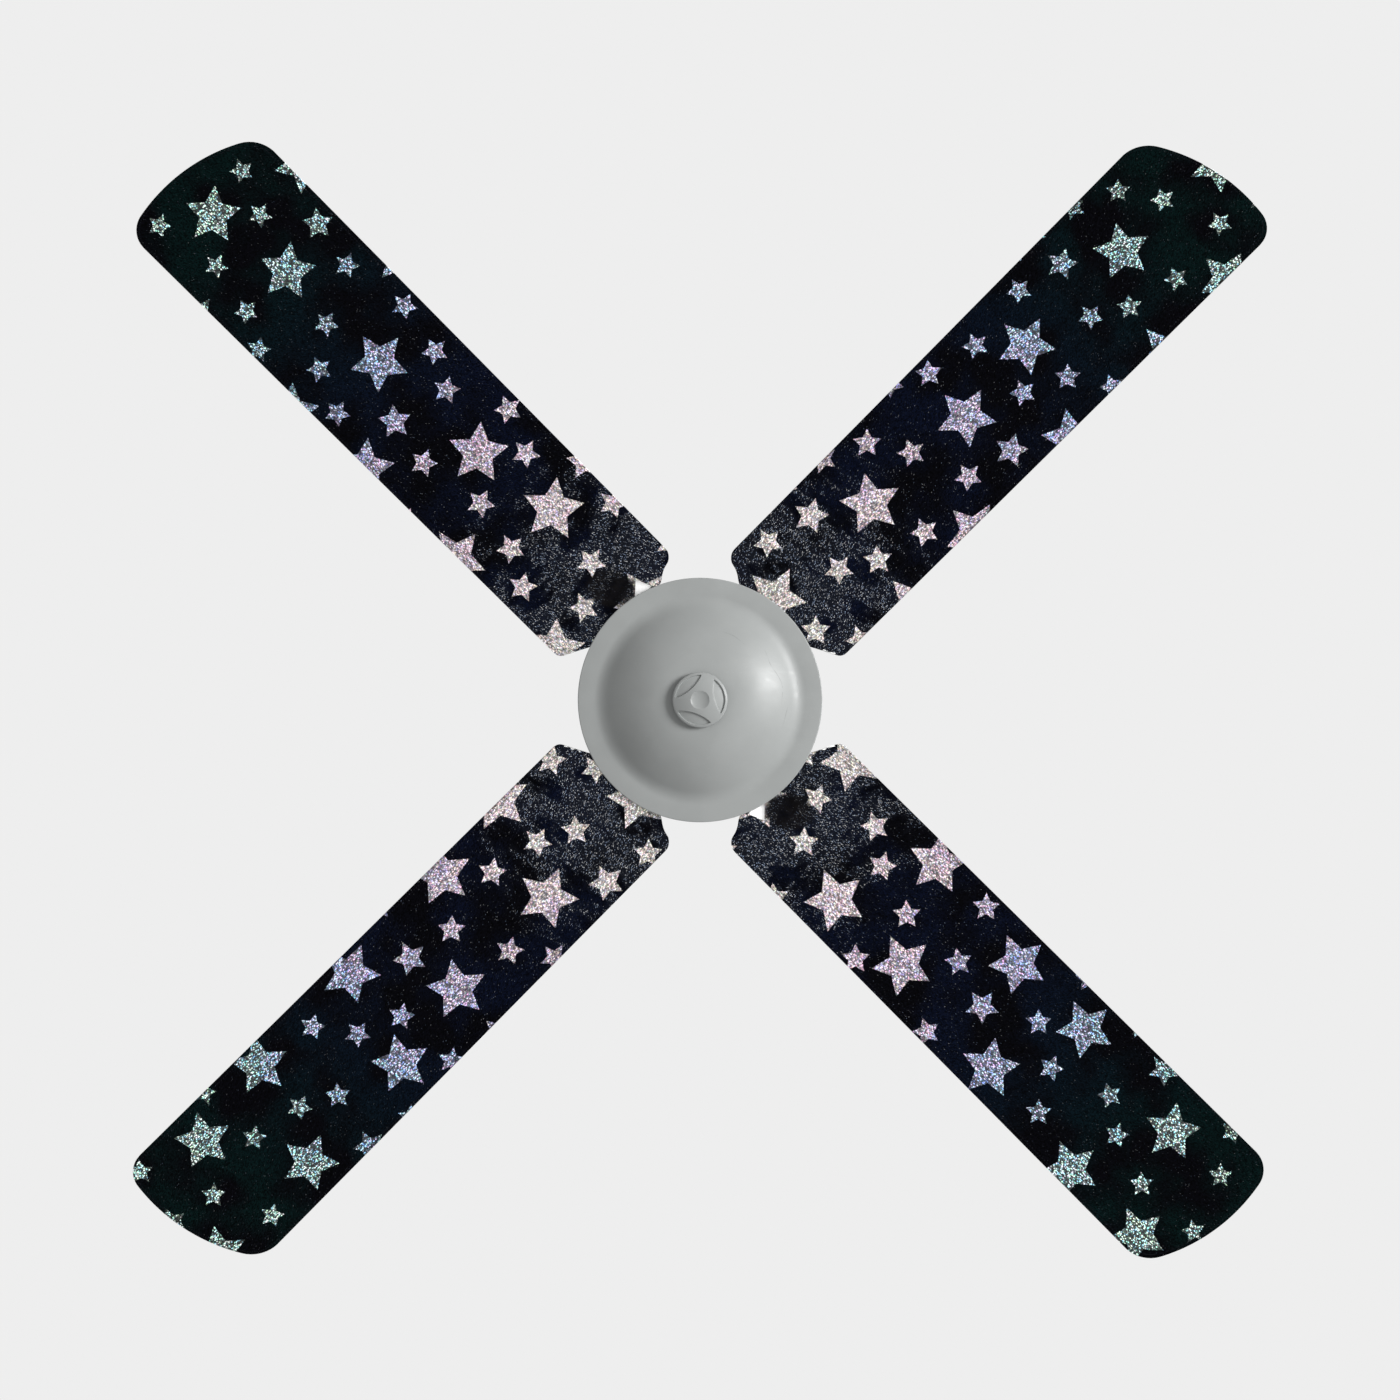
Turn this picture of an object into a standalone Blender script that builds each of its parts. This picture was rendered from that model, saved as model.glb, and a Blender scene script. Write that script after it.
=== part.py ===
"""Four-blade ceiling fan hung from a hook, with a fabric cover on each blade.

The frame has +Z up. The origin is the centre of the bracket's ceiling face, and the fan hangs below it
on the Z axis. Blades lie along +X+Y, -X+Y, -X-Y and +X-Y. Every size is in metres, written as N * MM.
"""

from math import acos, asin, atan2, cos, pi, radians, sin, sqrt, tau

import bmesh
import bpy
from mathutils import Matrix, Vector

MM = 0.001
GAP = 0.3 * MM  # what two touching pieces keep between them

# Swept circle and blades
SWEEP_RADIUS = 600 * MM
BLADE_COUNT = 4
FIRST_BLADE = radians(45)
PITCH = radians(-11)
BLADE_PLANE = -278.1 * MM  # height of the blade's mid surface on its own long axis
BLADE_THICKNESS = 3 * MM
BLADE_INSET = 3.5 * MM  # the blade is this much smaller than its cover along its edges and root
BLADE_OFFSET = -5.15 * MM  # the blade's middle line lies this far beside the bracket's
ROOT_RADIUS = 84 * MM  # nearest point of a blade cover to the fan's axis
ROOT_ARC = 119 * MM
ROOT_CORNER = 9 * MM
ROOT_HALF_WIDTH = 62.7 * MM
TIP_HALF_WIDTH = 65.7 * MM
WIDTH_PLACES = (105 * MM, 545 * MM)  # where those two half widths are measured
TIP_ARC = 156 * MM
TIP_ARC_OFFSET = 25.5 * MM  # the tip's arc is centred towards one edge
TIP_SHORT_CORNER = 19.5 * MM
TIP_LONG_CORNER = 30 * MM

# Blade cover: a fabric sleeve, slack over the bracket's palm and rivets
COVER_WALL = 1 * MM
COVER_TOP = 3.1 * MM
COVER_BOTTOM = -4.9 * MM
COVER_BUMP_TOP = 8.6 * MM
COVER_BUMP_HALF_WIDTH = 34 * MM
COVER_BUMP_END = 160 * MM
COVER_MOUTH_END = 98 * MM
COVER_MOUTH_HALF_WIDTH = 29 * MM

# Blade bracket: a flat foot under the rotor, a twisted neck and a palm riveted on the blade
BRACKET_THICKNESS = 3 * MM
BRACKET_LOW = BLADE_THICKNESS / 2 + GAP  # underside of the bracket, above the blade's mid surface
TWIST_START = 76 * MM
TWIST_END = 87 * MM
BRACKET_WIDTHS = (
    (60 * MM, 19 * MM),
    (63 * MM, 22 * MM),
    (74 * MM, 22 * MM),
    (80 * MM, 17 * MM),
    (92 * MM, 17 * MM),
    (101 * MM, 26 * MM),
    (143 * MM, 26 * MM),
    (150 * MM, 19 * MM),
)
RIVET_RADIUS = 2.5 * MM
RIVET_HEAD_RADIUS = 4.5 * MM
RIVET_HEAD = 1.6 * MM
RIVET_PLACES = ((106 * MM, 15 * MM), (106 * MM, -15 * MM), (138 * MM, 0))
FOOT_SCREW_RADIUS = 72.7 * MM  # from the fan's axis
FOOT_SCREW_SPACING = 13.5 * MM  # each side of the blade's long axis
FOOT_SCREW_SHANK = 2 * MM

# Ceiling bracket and hook
PLATE_LENGTH = 104 * MM
PLATE_WIDTH = 44 * MM
PLATE_THICKNESS = 2.5 * MM
PLATE_CORNER = 10 * MM
SLOT_CENTRE = 44 * MM
SLOT_LENGTH = 14 * MM
SLOT_WIDTH = 5.5 * MM
CABLE_HOLE = (4 * MM, 14 * MM, 5 * MM)
HOOK_BAR = 5 * MM
HOOK_RADIUS = 20 * MM
HOOK_CENTRE = -30 * MM
HOOK_TIP = -26 * MM

# Roller on the hook and the shackle round it
ROLLER_WAIST = 9 * MM
ROLLER_GROOVE = 7 * MM
ROLLER_FLANGE = 13.5 * MM
ROLLER_HALF_WIDTH = 11 * MM
PIN_RADIUS = 4 * MM
SLEEVE_RADIUS = 6 * MM
PIN_HEIGHT = HOOK_CENTRE - HOOK_RADIUS + HOOK_BAR + GAP + ROLLER_WAIST
EAR_INNER = 11.5 * MM
EAR_OUTER = 14.5 * MM
EAR_HALF_WIDTH = 12 * MM
SHACKLE_BASE_TOP = -66 * MM
SHACKLE_BASE_BOTTOM = -70 * MM

# Downrod, coupling and shaft
ROD_RADIUS = 10.5 * MM
ROD_BORE = 8.5 * MM
ROD_END = -204 * MM
COUPLING_RADIUS = 16 * MM
COUPLING_TOP = -187 * MM
COUPLING_STEP = -206 * MM
COUPLING_BOTTOM = -224 * MM
COUPLING_PIN_HEIGHT = -196 * MM
COUPLING_PIN_RADIUS = 3 * MM
GRUB_HEIGHT = -215 * MM
SHAFT_RADIUS = 8 * MM
SHAFT_BORE = 4.5 * MM
SHAFT_TOP = -207 * MM
SHAFT_END = -309 * MM

# Motor
MOTOR_MIDDLE = -250 * MM
SHELL_RADIUS = 78 * MM
SHELL_TOP = -226.5 * MM
SHELL_BOTTOM = -273 * MM
SHELL_BORE = 9.5 * MM
SHELL_INNER = 67.4 * MM
ROTOR_RING_INNER = 59 * MM
ROTOR_RING_HEIGHT = 16 * MM
STATOR_RADIUS = 58 * MM
STATOR_HEIGHT = 13 * MM
TOOTH_COUNT = 12
BEARING_RADIUS = 18.7 * MM
BEARING_WIDTH = 11 * MM
BEARING_OFFSET = 12.7 * MM  # middle of each bearing above or below the motor's middle
BALL_PITCH_RADIUS = 13.5 * MM
BALL_RADIUS = 2.6 * MM
BALL_COUNT = 7

# Lower cover and its knob
DISC_RADIUS = 98.3 * MM
DISC_TOP = -298 * MM
DISC_FACE = -301.5 * MM
DISC_WALL = 1.8 * MM
DOME_RADIUS = 81 * MM
DOME_DEPTH = 24 * MM
DOME_FLAT = 24 * MM
BOSS_RADIUS = 15 * MM
WASHER_RADIUS = 14 * MM
WASHER_THICKNESS = 1 * MM
KNOB_RADIUS = 22.1 * MM
KNOB_THICKNESS = 8 * MM
KNOB_RIM = 1.4 * MM
KNOB_DIMPLE = 7.5 * MM
KNOB_DIMPLE_DEPTH = 2 * MM
KNOB_STEP = 0.8 * MM
KNOB_LENS_RADIUS = 33 * MM
KNOB_LENS_NEAR = 11.3 * MM  # nearest a lowered lens comes to the knob's centre
FIRST_LENS = radians(-11)
STUD_RADIUS = 4 * MM
STUD_TOP = -297 * MM


# Colours
ZINC = ((0.52, 0.53, 0.54), 0.38, 0.9)
STEEL = ((0.62, 0.62, 0.61), 0.28, 1.0)
GREY_PAINT = ((0.37, 0.385, 0.375), 0.42, 0.0)


# ---------------------------------------------------------------- shape helpers


def clear_scene():
    for obj in list(bpy.data.objects):
        bpy.data.objects.remove(obj)


def paint(name, colour, roughness, metallic=0.0):
    material = bpy.data.materials.new(name)
    material.use_nodes = True
    shader = material.node_tree.nodes["Principled BSDF"]
    shader.inputs["Base Color"].default_value = (*colour, 1)
    shader.inputs["Roughness"].default_value = roughness
    shader.inputs["Metallic"].default_value = metallic
    return material


def finish(name, bm):
    """A named object from a bmesh, closed, facing out and shaded smooth between its sharp edges."""
    bmesh.ops.remove_doubles(bm, verts=bm.verts, dist=1e-6)
    bmesh.ops.recalc_face_normals(bm, faces=bm.faces)
    mesh = bpy.data.meshes.new(name)
    bm.to_mesh(mesh)
    bm.free()
    mesh.shade_smooth()
    mesh.set_sharp_from_angle(angle=radians(35))
    obj = bpy.data.objects.new(name, mesh)
    bpy.context.scene.collection.objects.link(obj)
    return obj


def lathe(name, outline, segments):
    """Turns (radius, height) points round Z. The outline is a loop, or runs from the axis to the axis."""
    bm = bmesh.new()
    points = [bm.verts.new((radius, 0, height)) for radius, height in outline]
    edges = [bm.edges.new(pair) for pair in zip(points, points[1:])]
    if outline[0][0] > 0:
        edges.append(bm.edges.new((points[-1], points[0])))
    bmesh.ops.spin(
        bm,
        geom=points + edges,
        cent=(0, 0, 0),
        axis=(0, 0, 1),
        angle=tau,
        steps=segments,
        use_merge=True,
    )
    return finish(name, bm)


def slab(name, outline, bottom, top):
    """A flat plate: an outline of (x, y) points between two heights."""
    bm = bmesh.new()
    face = bm.faces.new([bm.verts.new((x, y, bottom)) for x, y in outline])
    raised = bmesh.ops.extrude_face_region(bm, geom=[face])["geom"]
    corners = [item for item in raised if isinstance(item, bmesh.types.BMVert)]
    bmesh.ops.translate(bm, verts=corners, vec=(0, 0, top - bottom))
    return finish(name, bm)


def box(name, low, high):
    (x0, y0, z0), (x1, y1, z1) = low, high
    return slab(name, [(x0, y0), (x1, y0), (x1, y1), (x0, y1)], z0, z1)


def cylinder(name, radius, start, end, segments=16):
    """A round bar between two points."""
    start, end = Vector(start), Vector(end)
    bm = bmesh.new()
    bmesh.ops.create_cone(
        bm,
        cap_ends=True,
        segments=segments,
        radius1=radius,
        radius2=radius,
        depth=(end - start).length,
    )
    turn = (end - start).to_track_quat("Z", "Y").to_matrix().to_4x4()
    bm.transform(Matrix.Translation((start + end) / 2) @ turn)
    return finish(name, bm)


def sweep(name, path, radius, sides=10):
    """A round bar bent along a path that lies in a plane of constant x or of constant y."""
    path = [Vector(point) for point in path]
    normal = Vector((0, 1, 0)) if all(abs(p.y - path[0].y) < 1e-9 for p in path) else Vector((1, 0, 0))
    bm = bmesh.new()
    rings = []
    for index, point in enumerate(path):
        ahead = path[min(index + 1, len(path) - 1)]
        behind = path[max(index - 1, 0)]
        across = (ahead - behind).normalized().cross(normal)
        spokes = [across * cos(k * tau / sides) + normal * sin(k * tau / sides) for k in range(sides)]
        rings.append([bm.verts.new(point + spoke * radius) for spoke in spokes])
    for one, other in zip(rings, rings[1:]):
        for k in range(sides):
            bm.faces.new((one[k], one[k - 1], other[k - 1], other[k]))
    bm.faces.new(rings[0])
    bm.faces.new(rings[-1])
    return finish(name, bm)


def combine(base, tool, operation):
    """Applies one Boolean to base and removes the tool."""
    modifier = base.modifiers.new(operation.title(), "BOOLEAN")
    modifier.operation = operation
    modifier.object = tool
    graph = bpy.context.evaluated_depsgraph_get()
    mesh = bpy.data.meshes.new_from_object(base.evaluated_get(graph))
    base.modifiers.clear()
    base.data = mesh
    mesh.shade_smooth()
    mesh.set_sharp_from_angle(angle=radians(35))
    bpy.data.objects.remove(tool)
    return base


def join(base, *tools):
    for tool in tools:
        combine(base, tool, "UNION")
    return base


def cut(base, *tools):
    for tool in tools:
        combine(base, tool, "DIFFERENCE")
    return base


def arc(centre, radius, start, end, steps):
    """Points on an arc, as pairs, from one angle to another."""
    turns = [start + (end - start) * k / steps for k in range(steps + 1)]
    return [(centre[0] + radius * cos(turn), centre[1] + radius * sin(turn)) for turn in turns]


def rounded_rectangle(half_length, half_width, corner, steps=4):
    x, y = half_length - corner, half_width - corner
    quarters = ((x, y, 0), (-x, y, 1), (-x, -y, 2), (x, -y, 3))
    return [
        point
        for cx, cy, quarter in quarters
        for point in arc((cx, cy), corner, quarter * pi / 2, (quarter + 1) * pi / 2, steps)
    ]


def polygon(radius, sides, turn=0.0):
    return [(radius * cos(turn + k * tau / sides), radius * sin(turn + k * tau / sides)) for k in range(sides)]


def aim(obj, at, direction):
    """Moves an object made along +Z so that it starts at a point and points along a direction."""
    turn = Vector(direction).to_track_quat("Z", "Y").to_matrix().to_4x4()
    obj.data.transform(Matrix.Translation(at) @ turn)
    return obj


def screw(name, at, direction, shank, length, head, head_height):
    """A pan-head screw with a drive recess. Its head's underside is at a point, its shank along a direction."""
    recess = head * 0.4
    outline = [
        (0, -head_height * 0.4),
        (recess, -head_height * 0.4),
        (recess, -head_height),
        (head * 0.75, -head_height),
        (head, -head_height * 0.4),
        (head, 0),
        (shank, 0),
        (shank, length - shank),
        (0, length),
    ]
    return aim(lathe(name, outline, 8), at, direction)


# ---------------------------------------------------------------- ceiling bracket, roller and rod


def hanger_bracket():
    """Ceiling plate with two slots and a cable hole, and the hook welded to its underside."""
    plate = slab(
        "hanger_bracket",
        rounded_rectangle(PLATE_LENGTH / 2, PLATE_WIDTH / 2, PLATE_CORNER),
        -PLATE_THICKNESS,
        0,
    )
    slot = rounded_rectangle(SLOT_WIDTH / 2, SLOT_LENGTH / 2, SLOT_WIDTH / 2 - 0.01 * MM)
    for side in (-1, 1):
        placed = [(x + side * SLOT_CENTRE, y) for x, y in slot]
        cut(plate, slab("slot_cutter", placed, -2 * PLATE_THICKNESS, PLATE_THICKNESS))
    x, y, radius = CABLE_HOLE
    cut(plate, cylinder("hole_cutter", radius, (x, y, -2 * PLATE_THICKNESS), (x, y, PLATE_THICKNESS)))
    bend = arc((0, HOOK_CENTRE), HOOK_RADIUS, 0, -pi, 12)
    path = [(HOOK_RADIUS, -PLATE_THICKNESS / 2), *bend, (-HOOK_RADIUS, HOOK_TIP)]
    hook = sweep("hook", [(x, 0, z) for x, z in path], HOOK_BAR, 10)
    collar = cylinder(
        "collar",
        HOOK_BAR + 4 * MM,
        (HOOK_RADIUS, 0, -PLATE_THICKNESS / 2),
        (HOOK_RADIUS, 0, -PLATE_THICKNESS - 3 * MM),
    )
    return join(plate, collar, hook)


def terminal_block():
    """Moulded terminal strip under the ceiling plate, with a wire entry for each of three lines."""
    top = -PLATE_THICKNESS - GAP
    block = box("terminal_block", (30 * MM, -15 * MM, top - 14 * MM), (40 * MM, 15 * MM, top))
    for y in (-9 * MM, 0, 9 * MM):
        cut(
            block,
            cylinder("entry_cutter", 2 * MM, (35 * MM, y, top - 15 * MM), (35 * MM, y, top - 7 * MM), 8),
        )
    return block


def roller_profile():
    """Half of the roller's outline, from its waist to its outer face, as (radius, distance along the pin)."""
    centre = ROLLER_WAIST + ROLLER_GROOVE
    reach = asin(min(1, (centre - ROLLER_FLANGE + 1 * MM) / ROLLER_GROOVE))
    groove = [
        (centre - ROLLER_GROOVE * cos(turn), ROLLER_GROOVE * sin(turn))
        for turn in (k * (pi / 2 - reach) / 3 for k in range(4))
    ]
    return [*groove, (ROLLER_FLANGE, ROLLER_HALF_WIDTH - 2 * MM), (ROLLER_FLANGE - 1 * MM, ROLLER_HALF_WIDTH)]


def hanger_roller():
    half = roller_profile()
    bore = SLEEVE_RADIUS + GAP
    outline = [(radius, -along) for radius, along in reversed(half[1:])] + half
    outline += [(bore, ROLLER_HALF_WIDTH), (bore, -ROLLER_HALF_WIDTH)]
    return aim(lathe("hanger_roller", outline, 20), (0, 0, PIN_HEIGHT), (0, 1, 0))


def roller_sleeve():
    bore = PIN_RADIUS + GAP
    outline = [
        (bore, -ROLLER_HALF_WIDTH),
        (SLEEVE_RADIUS, -ROLLER_HALF_WIDTH),
        (SLEEVE_RADIUS, ROLLER_HALF_WIDTH),
        (bore, ROLLER_HALF_WIDTH),
    ]
    return aim(lathe("roller_sleeve", outline, 20), (0, 0, PIN_HEIGHT), (0, 1, 0))


def shackle_ear(side):
    """One side plate of the shackle, round at the top about the pin."""
    top = arc((0, PIN_HEIGHT), EAR_HALF_WIDTH, 0, pi, 8)
    outline = [*top, (-EAR_HALF_WIDTH, SHACKLE_BASE_BOTTOM), (EAR_HALF_WIDTH, SHACKLE_BASE_BOTTOM)]
    ear = slab("ear", outline, EAR_INNER, EAR_OUTER)
    # The slab's outline is x and z, and its thickness lies along y.
    ear.data.transform(Matrix(((1, 0, 0, 0), (0, 0, side, 0), (0, 1, 0, 0), (0, 0, 0, 1))))
    if side > 0:
        ear.data.flip_normals()
    return ear


def downrod():
    """Tube with the shackle welded on its top and a cross hole for the coupling pin."""
    base = box(
        "downrod",
        (-EAR_HALF_WIDTH, -EAR_OUTER + 0.5 * MM, SHACKLE_BASE_BOTTOM),
        (EAR_HALF_WIDTH, EAR_OUTER - 0.5 * MM, SHACKLE_BASE_TOP),
    )
    tube = cylinder("tube", ROD_RADIUS, (0, 0, SHACKLE_BASE_TOP - 1 * MM), (0, 0, ROD_END), 24)
    join(base, shackle_ear(1), shackle_ear(-1), tube)
    bore = cylinder("bore_cutter", ROD_BORE, (0, 0, SHACKLE_BASE_BOTTOM - 1 * MM), (0, 0, ROD_END - MM), 24)
    entry = cylinder("entry_cutter", 6 * MM, (0, 0, SHACKLE_BASE_TOP + MM), (0, 0, SHACKLE_BASE_BOTTOM - 2 * MM))
    pin_hole = cylinder(
        "pin_cutter", PIN_RADIUS + GAP, (0, -EAR_OUTER - MM, PIN_HEIGHT), (0, EAR_OUTER + MM, PIN_HEIGHT)
    )
    cross = cylinder(
        "cross_cutter",
        COUPLING_PIN_RADIUS + GAP,
        (0, -ROD_RADIUS - MM, COUPLING_PIN_HEIGHT),
        (0, ROD_RADIUS + MM, COUPLING_PIN_HEIGHT),
    )
    return cut(base, bore, entry, pin_hole, cross)


def hexagon_nut(name, flats, bore, at, direction, height):
    nut = slab(name, polygon(flats / sqrt(3), 6), 0, height)
    cut(nut, cylinder("nut_cutter", bore, (0, 0, -MM), (0, 0, height + MM)))
    return aim(nut, at, direction)


def shackle_pin():
    """Bolt through both ears and the roller, with a hexagon head."""
    head_face = EAR_OUTER + GAP
    pin = cylinder("shackle_pin", PIN_RADIUS, (0, -22.5 * MM, PIN_HEIGHT), (0, head_face + MM, PIN_HEIGHT))
    head = aim(slab("head", polygon(7.5 * MM, 6), 0, 5.5 * MM), (0, head_face, PIN_HEIGHT), (0, 1, 0))
    return join(pin, head)


def shackle_nut():
    return hexagon_nut(
        "shackle_nut", 13 * MM, PIN_RADIUS + GAP, (0, -EAR_OUTER - GAP, PIN_HEIGHT), (0, -1, 0), 6.5 * MM
    )


def shaft_coupling():
    """Collar that takes the rod's lower end above and is screwed on the motor shaft below."""
    chamfer = 1.5 * MM
    outline = [
        (ROD_RADIUS + GAP, COUPLING_TOP),
        (COUPLING_RADIUS - chamfer, COUPLING_TOP),
        (COUPLING_RADIUS, COUPLING_TOP - chamfer),
        (COUPLING_RADIUS, COUPLING_BOTTOM + chamfer),
        (COUPLING_RADIUS - chamfer, COUPLING_BOTTOM),
        (SHAFT_RADIUS + GAP, COUPLING_BOTTOM),
        (SHAFT_RADIUS + GAP, COUPLING_STEP),
        (ROD_RADIUS + GAP, COUPLING_STEP),
    ]
    collar = lathe("shaft_coupling", outline, 24)
    cross = cylinder(
        "cross_cutter",
        COUPLING_PIN_RADIUS + GAP,
        (0, -COUPLING_RADIUS - MM, COUPLING_PIN_HEIGHT),
        (0, COUPLING_RADIUS + MM, COUPLING_PIN_HEIGHT),
    )
    grub = cylinder("grub_cutter", 2.8 * MM, (-COUPLING_RADIUS - MM, 0, GRUB_HEIGHT), (-6 * MM, 0, GRUB_HEIGHT))
    return cut(collar, cross, grub)


def coupling_pin():
    """Clevis pin with a flat head, drilled near its end for the clip."""
    head_face = COUPLING_RADIUS + GAP
    pin = cylinder(
        "coupling_pin",
        COUPLING_PIN_RADIUS,
        (0, -22 * MM, COUPLING_PIN_HEIGHT),
        (0, head_face + MM, COUPLING_PIN_HEIGHT),
    )
    head = cylinder(
        "head", 5 * MM, (0, head_face, COUPLING_PIN_HEIGHT), (0, head_face + 2.5 * MM, COUPLING_PIN_HEIGHT)
    )
    hole = cylinder(
        "hole_cutter",
        1.3 * MM,
        (0, -19 * MM, COUPLING_PIN_HEIGHT - 5 * MM),
        (0, -19 * MM, COUPLING_PIN_HEIGHT + 5 * MM),
        10,
    )
    return cut(join(pin, head), hole)


def coupling_clip():
    """R-clip: a straight leg through the pin and a sprung leg that bows round it."""
    wire = 0.9 * MM
    leg = -19 * MM
    loop = 3.2 * MM
    top = COUPLING_PIN_HEIGHT + 7 * MM
    straight = [(leg, COUPLING_PIN_HEIGHT - 8 * MM), (leg, top)]
    eye = arc((leg - loop, top), loop, radians(20), pi, 8)
    bow = [
        (leg - 5.4 * MM, COUPLING_PIN_HEIGHT + 2 * MM),
        (leg - 5.0 * MM, COUPLING_PIN_HEIGHT - 2 * MM),
        (leg - 3.2 * MM, COUPLING_PIN_HEIGHT - 6 * MM),
        (leg - 4.5 * MM, COUPLING_PIN_HEIGHT - 9 * MM),
    ]
    return sweep("coupling_clip", [(0, y, z) for y, z in straight + eye + bow], wire, 8)


def coupling_grub_screw():
    outline = [
        (0, 3 * MM),
        (1.2 * MM, 3 * MM),
        (1.2 * MM, 0),
        (2.5 * MM, 0),
        (2.5 * MM, 6 * MM),
        (1.2 * MM, 7.4 * MM),
        (0, 7.4 * MM),
    ]
    return aim(lathe("coupling_grub_screw", outline, 12), (-COUPLING_RADIUS + 0.2 * MM, 0, GRUB_HEIGHT), (1, 0, 0))


def motor_shaft():
    """Hollow fixed shaft. Its lower end takes the knob's stud."""
    chamfer = 1 * MM
    outline = [
        (SHAFT_BORE, SHAFT_TOP),
        (SHAFT_RADIUS - chamfer, SHAFT_TOP),
        (SHAFT_RADIUS, SHAFT_TOP - chamfer),
        (SHAFT_RADIUS, SHAFT_END + chamfer),
        (SHAFT_RADIUS - chamfer, SHAFT_END),
        (SHAFT_BORE, SHAFT_END),
    ]
    shaft = lathe("motor_shaft", outline, 24)
    flat_spot = cylinder("spot_cutter", 2.8 * MM, (-9 * MM, 0, GRUB_HEIGHT), (-7.2 * MM, 0, GRUB_HEIGHT), 12)
    return cut(shaft, flat_spot)


def shaft_nut():
    """Nut on the shaft's lower end. The lower cover's boss is clamped against it."""
    return hexagon_nut("shaft_nut", 24 * MM, SHAFT_RADIUS + GAP, (0, 0, SHAFT_END + MM), (0, 0, 1), 8 * MM)


def supply_lead():
    """Sheathed lead from the coupling, up the rod, out between the shackle's ears and up to its plug."""
    bends = (
        (5.8, -203),
        (5.8, -184),
        (3, -174),
        (0, -160),
        (0, -80),
        (0.6, -69),
        (3, -64.5),
        (8, -61.5),
        (16, -59),
        (26, -53),
        (34, -44),
        (37.5, -37),
        (38, -31),
    )
    lead = sweep("supply_lead", [(x * MM, 0, z * MM) for x, z in bends], 2.2 * MM, 8)
    plug = box("plug", (34 * MM, -7 * MM, -33 * MM), (42 * MM, 7 * MM, -24 * MM))
    return join(lead, plug)


def capacitor():
    """Flat moulded can beside the coupling, with a foot that is strapped against it."""
    can = slab("capacitor", rounded_rectangle(6.2 * MM, 14 * MM, 2 * MM, 2), -222 * MM, -198 * MM)
    can.data.transform(Matrix.Translation((24.5 * MM, 0, 0)))
    foot = box("foot", (COUPLING_RADIUS + GAP, -5 * MM, -216 * MM), (19 * MM, 5 * MM, -204 * MM))
    return join(can, foot)


# ---------------------------------------------------------------- the two covers that slide on the rod


def inner_outline(outer, wall):
    """Moves each (radius, height) point of a bell's outline towards its inside by the wall's thickness."""
    moved = []
    for index, (radius, height) in enumerate(outer):
        before = outer[max(index - 1, 0)]
        after = outer[min(index + 1, len(outer) - 1)]
        along = Vector((after[0] - before[0], after[1] - before[1])).normalized()
        moved.append((radius + along.y * wall, height - along.x * wall))
    return moved


def sliding_cover(name, outer, wall, collar_end, screw_height):
    """A bell with a collar round the rod. The outer outline runs from the wide rim to the collar."""
    inner = inner_outline(outer, wall)
    bore = ROD_RADIUS + GAP
    collar = outer[-1][0]
    outline = [*outer, (collar, collar_end), (bore, collar_end), (bore, inner[-1][1]), *reversed(inner)]
    bell = lathe(name, outline, 28)
    hole = cylinder("screw_cutter", 2.2 * MM, (9 * MM, 0, screw_height), (collar + MM, 0, screw_height), 10)
    return cut(bell, hole)


def bell_outline(rim, collar, rim_height, shoulder_height, collar_height, steps, fullness):
    """A short straight skirt from the rim, then a rounded shoulder that comes in to the collar."""
    curve = []
    for k in range(steps + 1):
        turn = k / steps * pi / 2
        radius = collar + (rim - collar) * cos(turn) ** fullness
        curve.append((radius, shoulder_height + (collar_height - shoulder_height) * sin(turn) ** fullness))
    return [(rim, rim_height), *curve]


def canopy():
    outer = bell_outline(64 * MM, 15.5 * MM, -9 * MM, -16 * MM, -78 * MM, 5, 1.2)
    return sliding_cover("canopy", outer, 1.4 * MM, -88 * MM, -83.5 * MM)


def coupling_cover():
    outer = bell_outline(46 * MM, 15.5 * MM, -224.5 * MM, -217 * MM, -181 * MM, 4, 1.05)
    return sliding_cover("coupling_cover", outer, -1.3 * MM, -172 * MM, -176 * MM)


def collar_screw(name, height):
    """Screw in a sliding cover's collar, pointing at the rod."""
    outside = 15.5 * MM + GAP
    return screw(name, (outside, 0, height), (-1, 0, 0), 1.9 * MM, outside - ROD_RADIUS - GAP, 3.6 * MM, 2.4 * MM)


# ---------------------------------------------------------------- motor


def foot_screw_places():
    """Centres of the eight screws under the rotor, two for each blade, as (x, y)."""
    places = []
    for k in range(BLADE_COUNT):
        turn = Matrix.Rotation(FIRST_BLADE + k * tau / BLADE_COUNT, 2)
        for side in (-1, 1):
            places.append(tuple(turn @ Vector((FOOT_SCREW_RADIUS, side * FOOT_SCREW_SPACING))))
    return places


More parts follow.
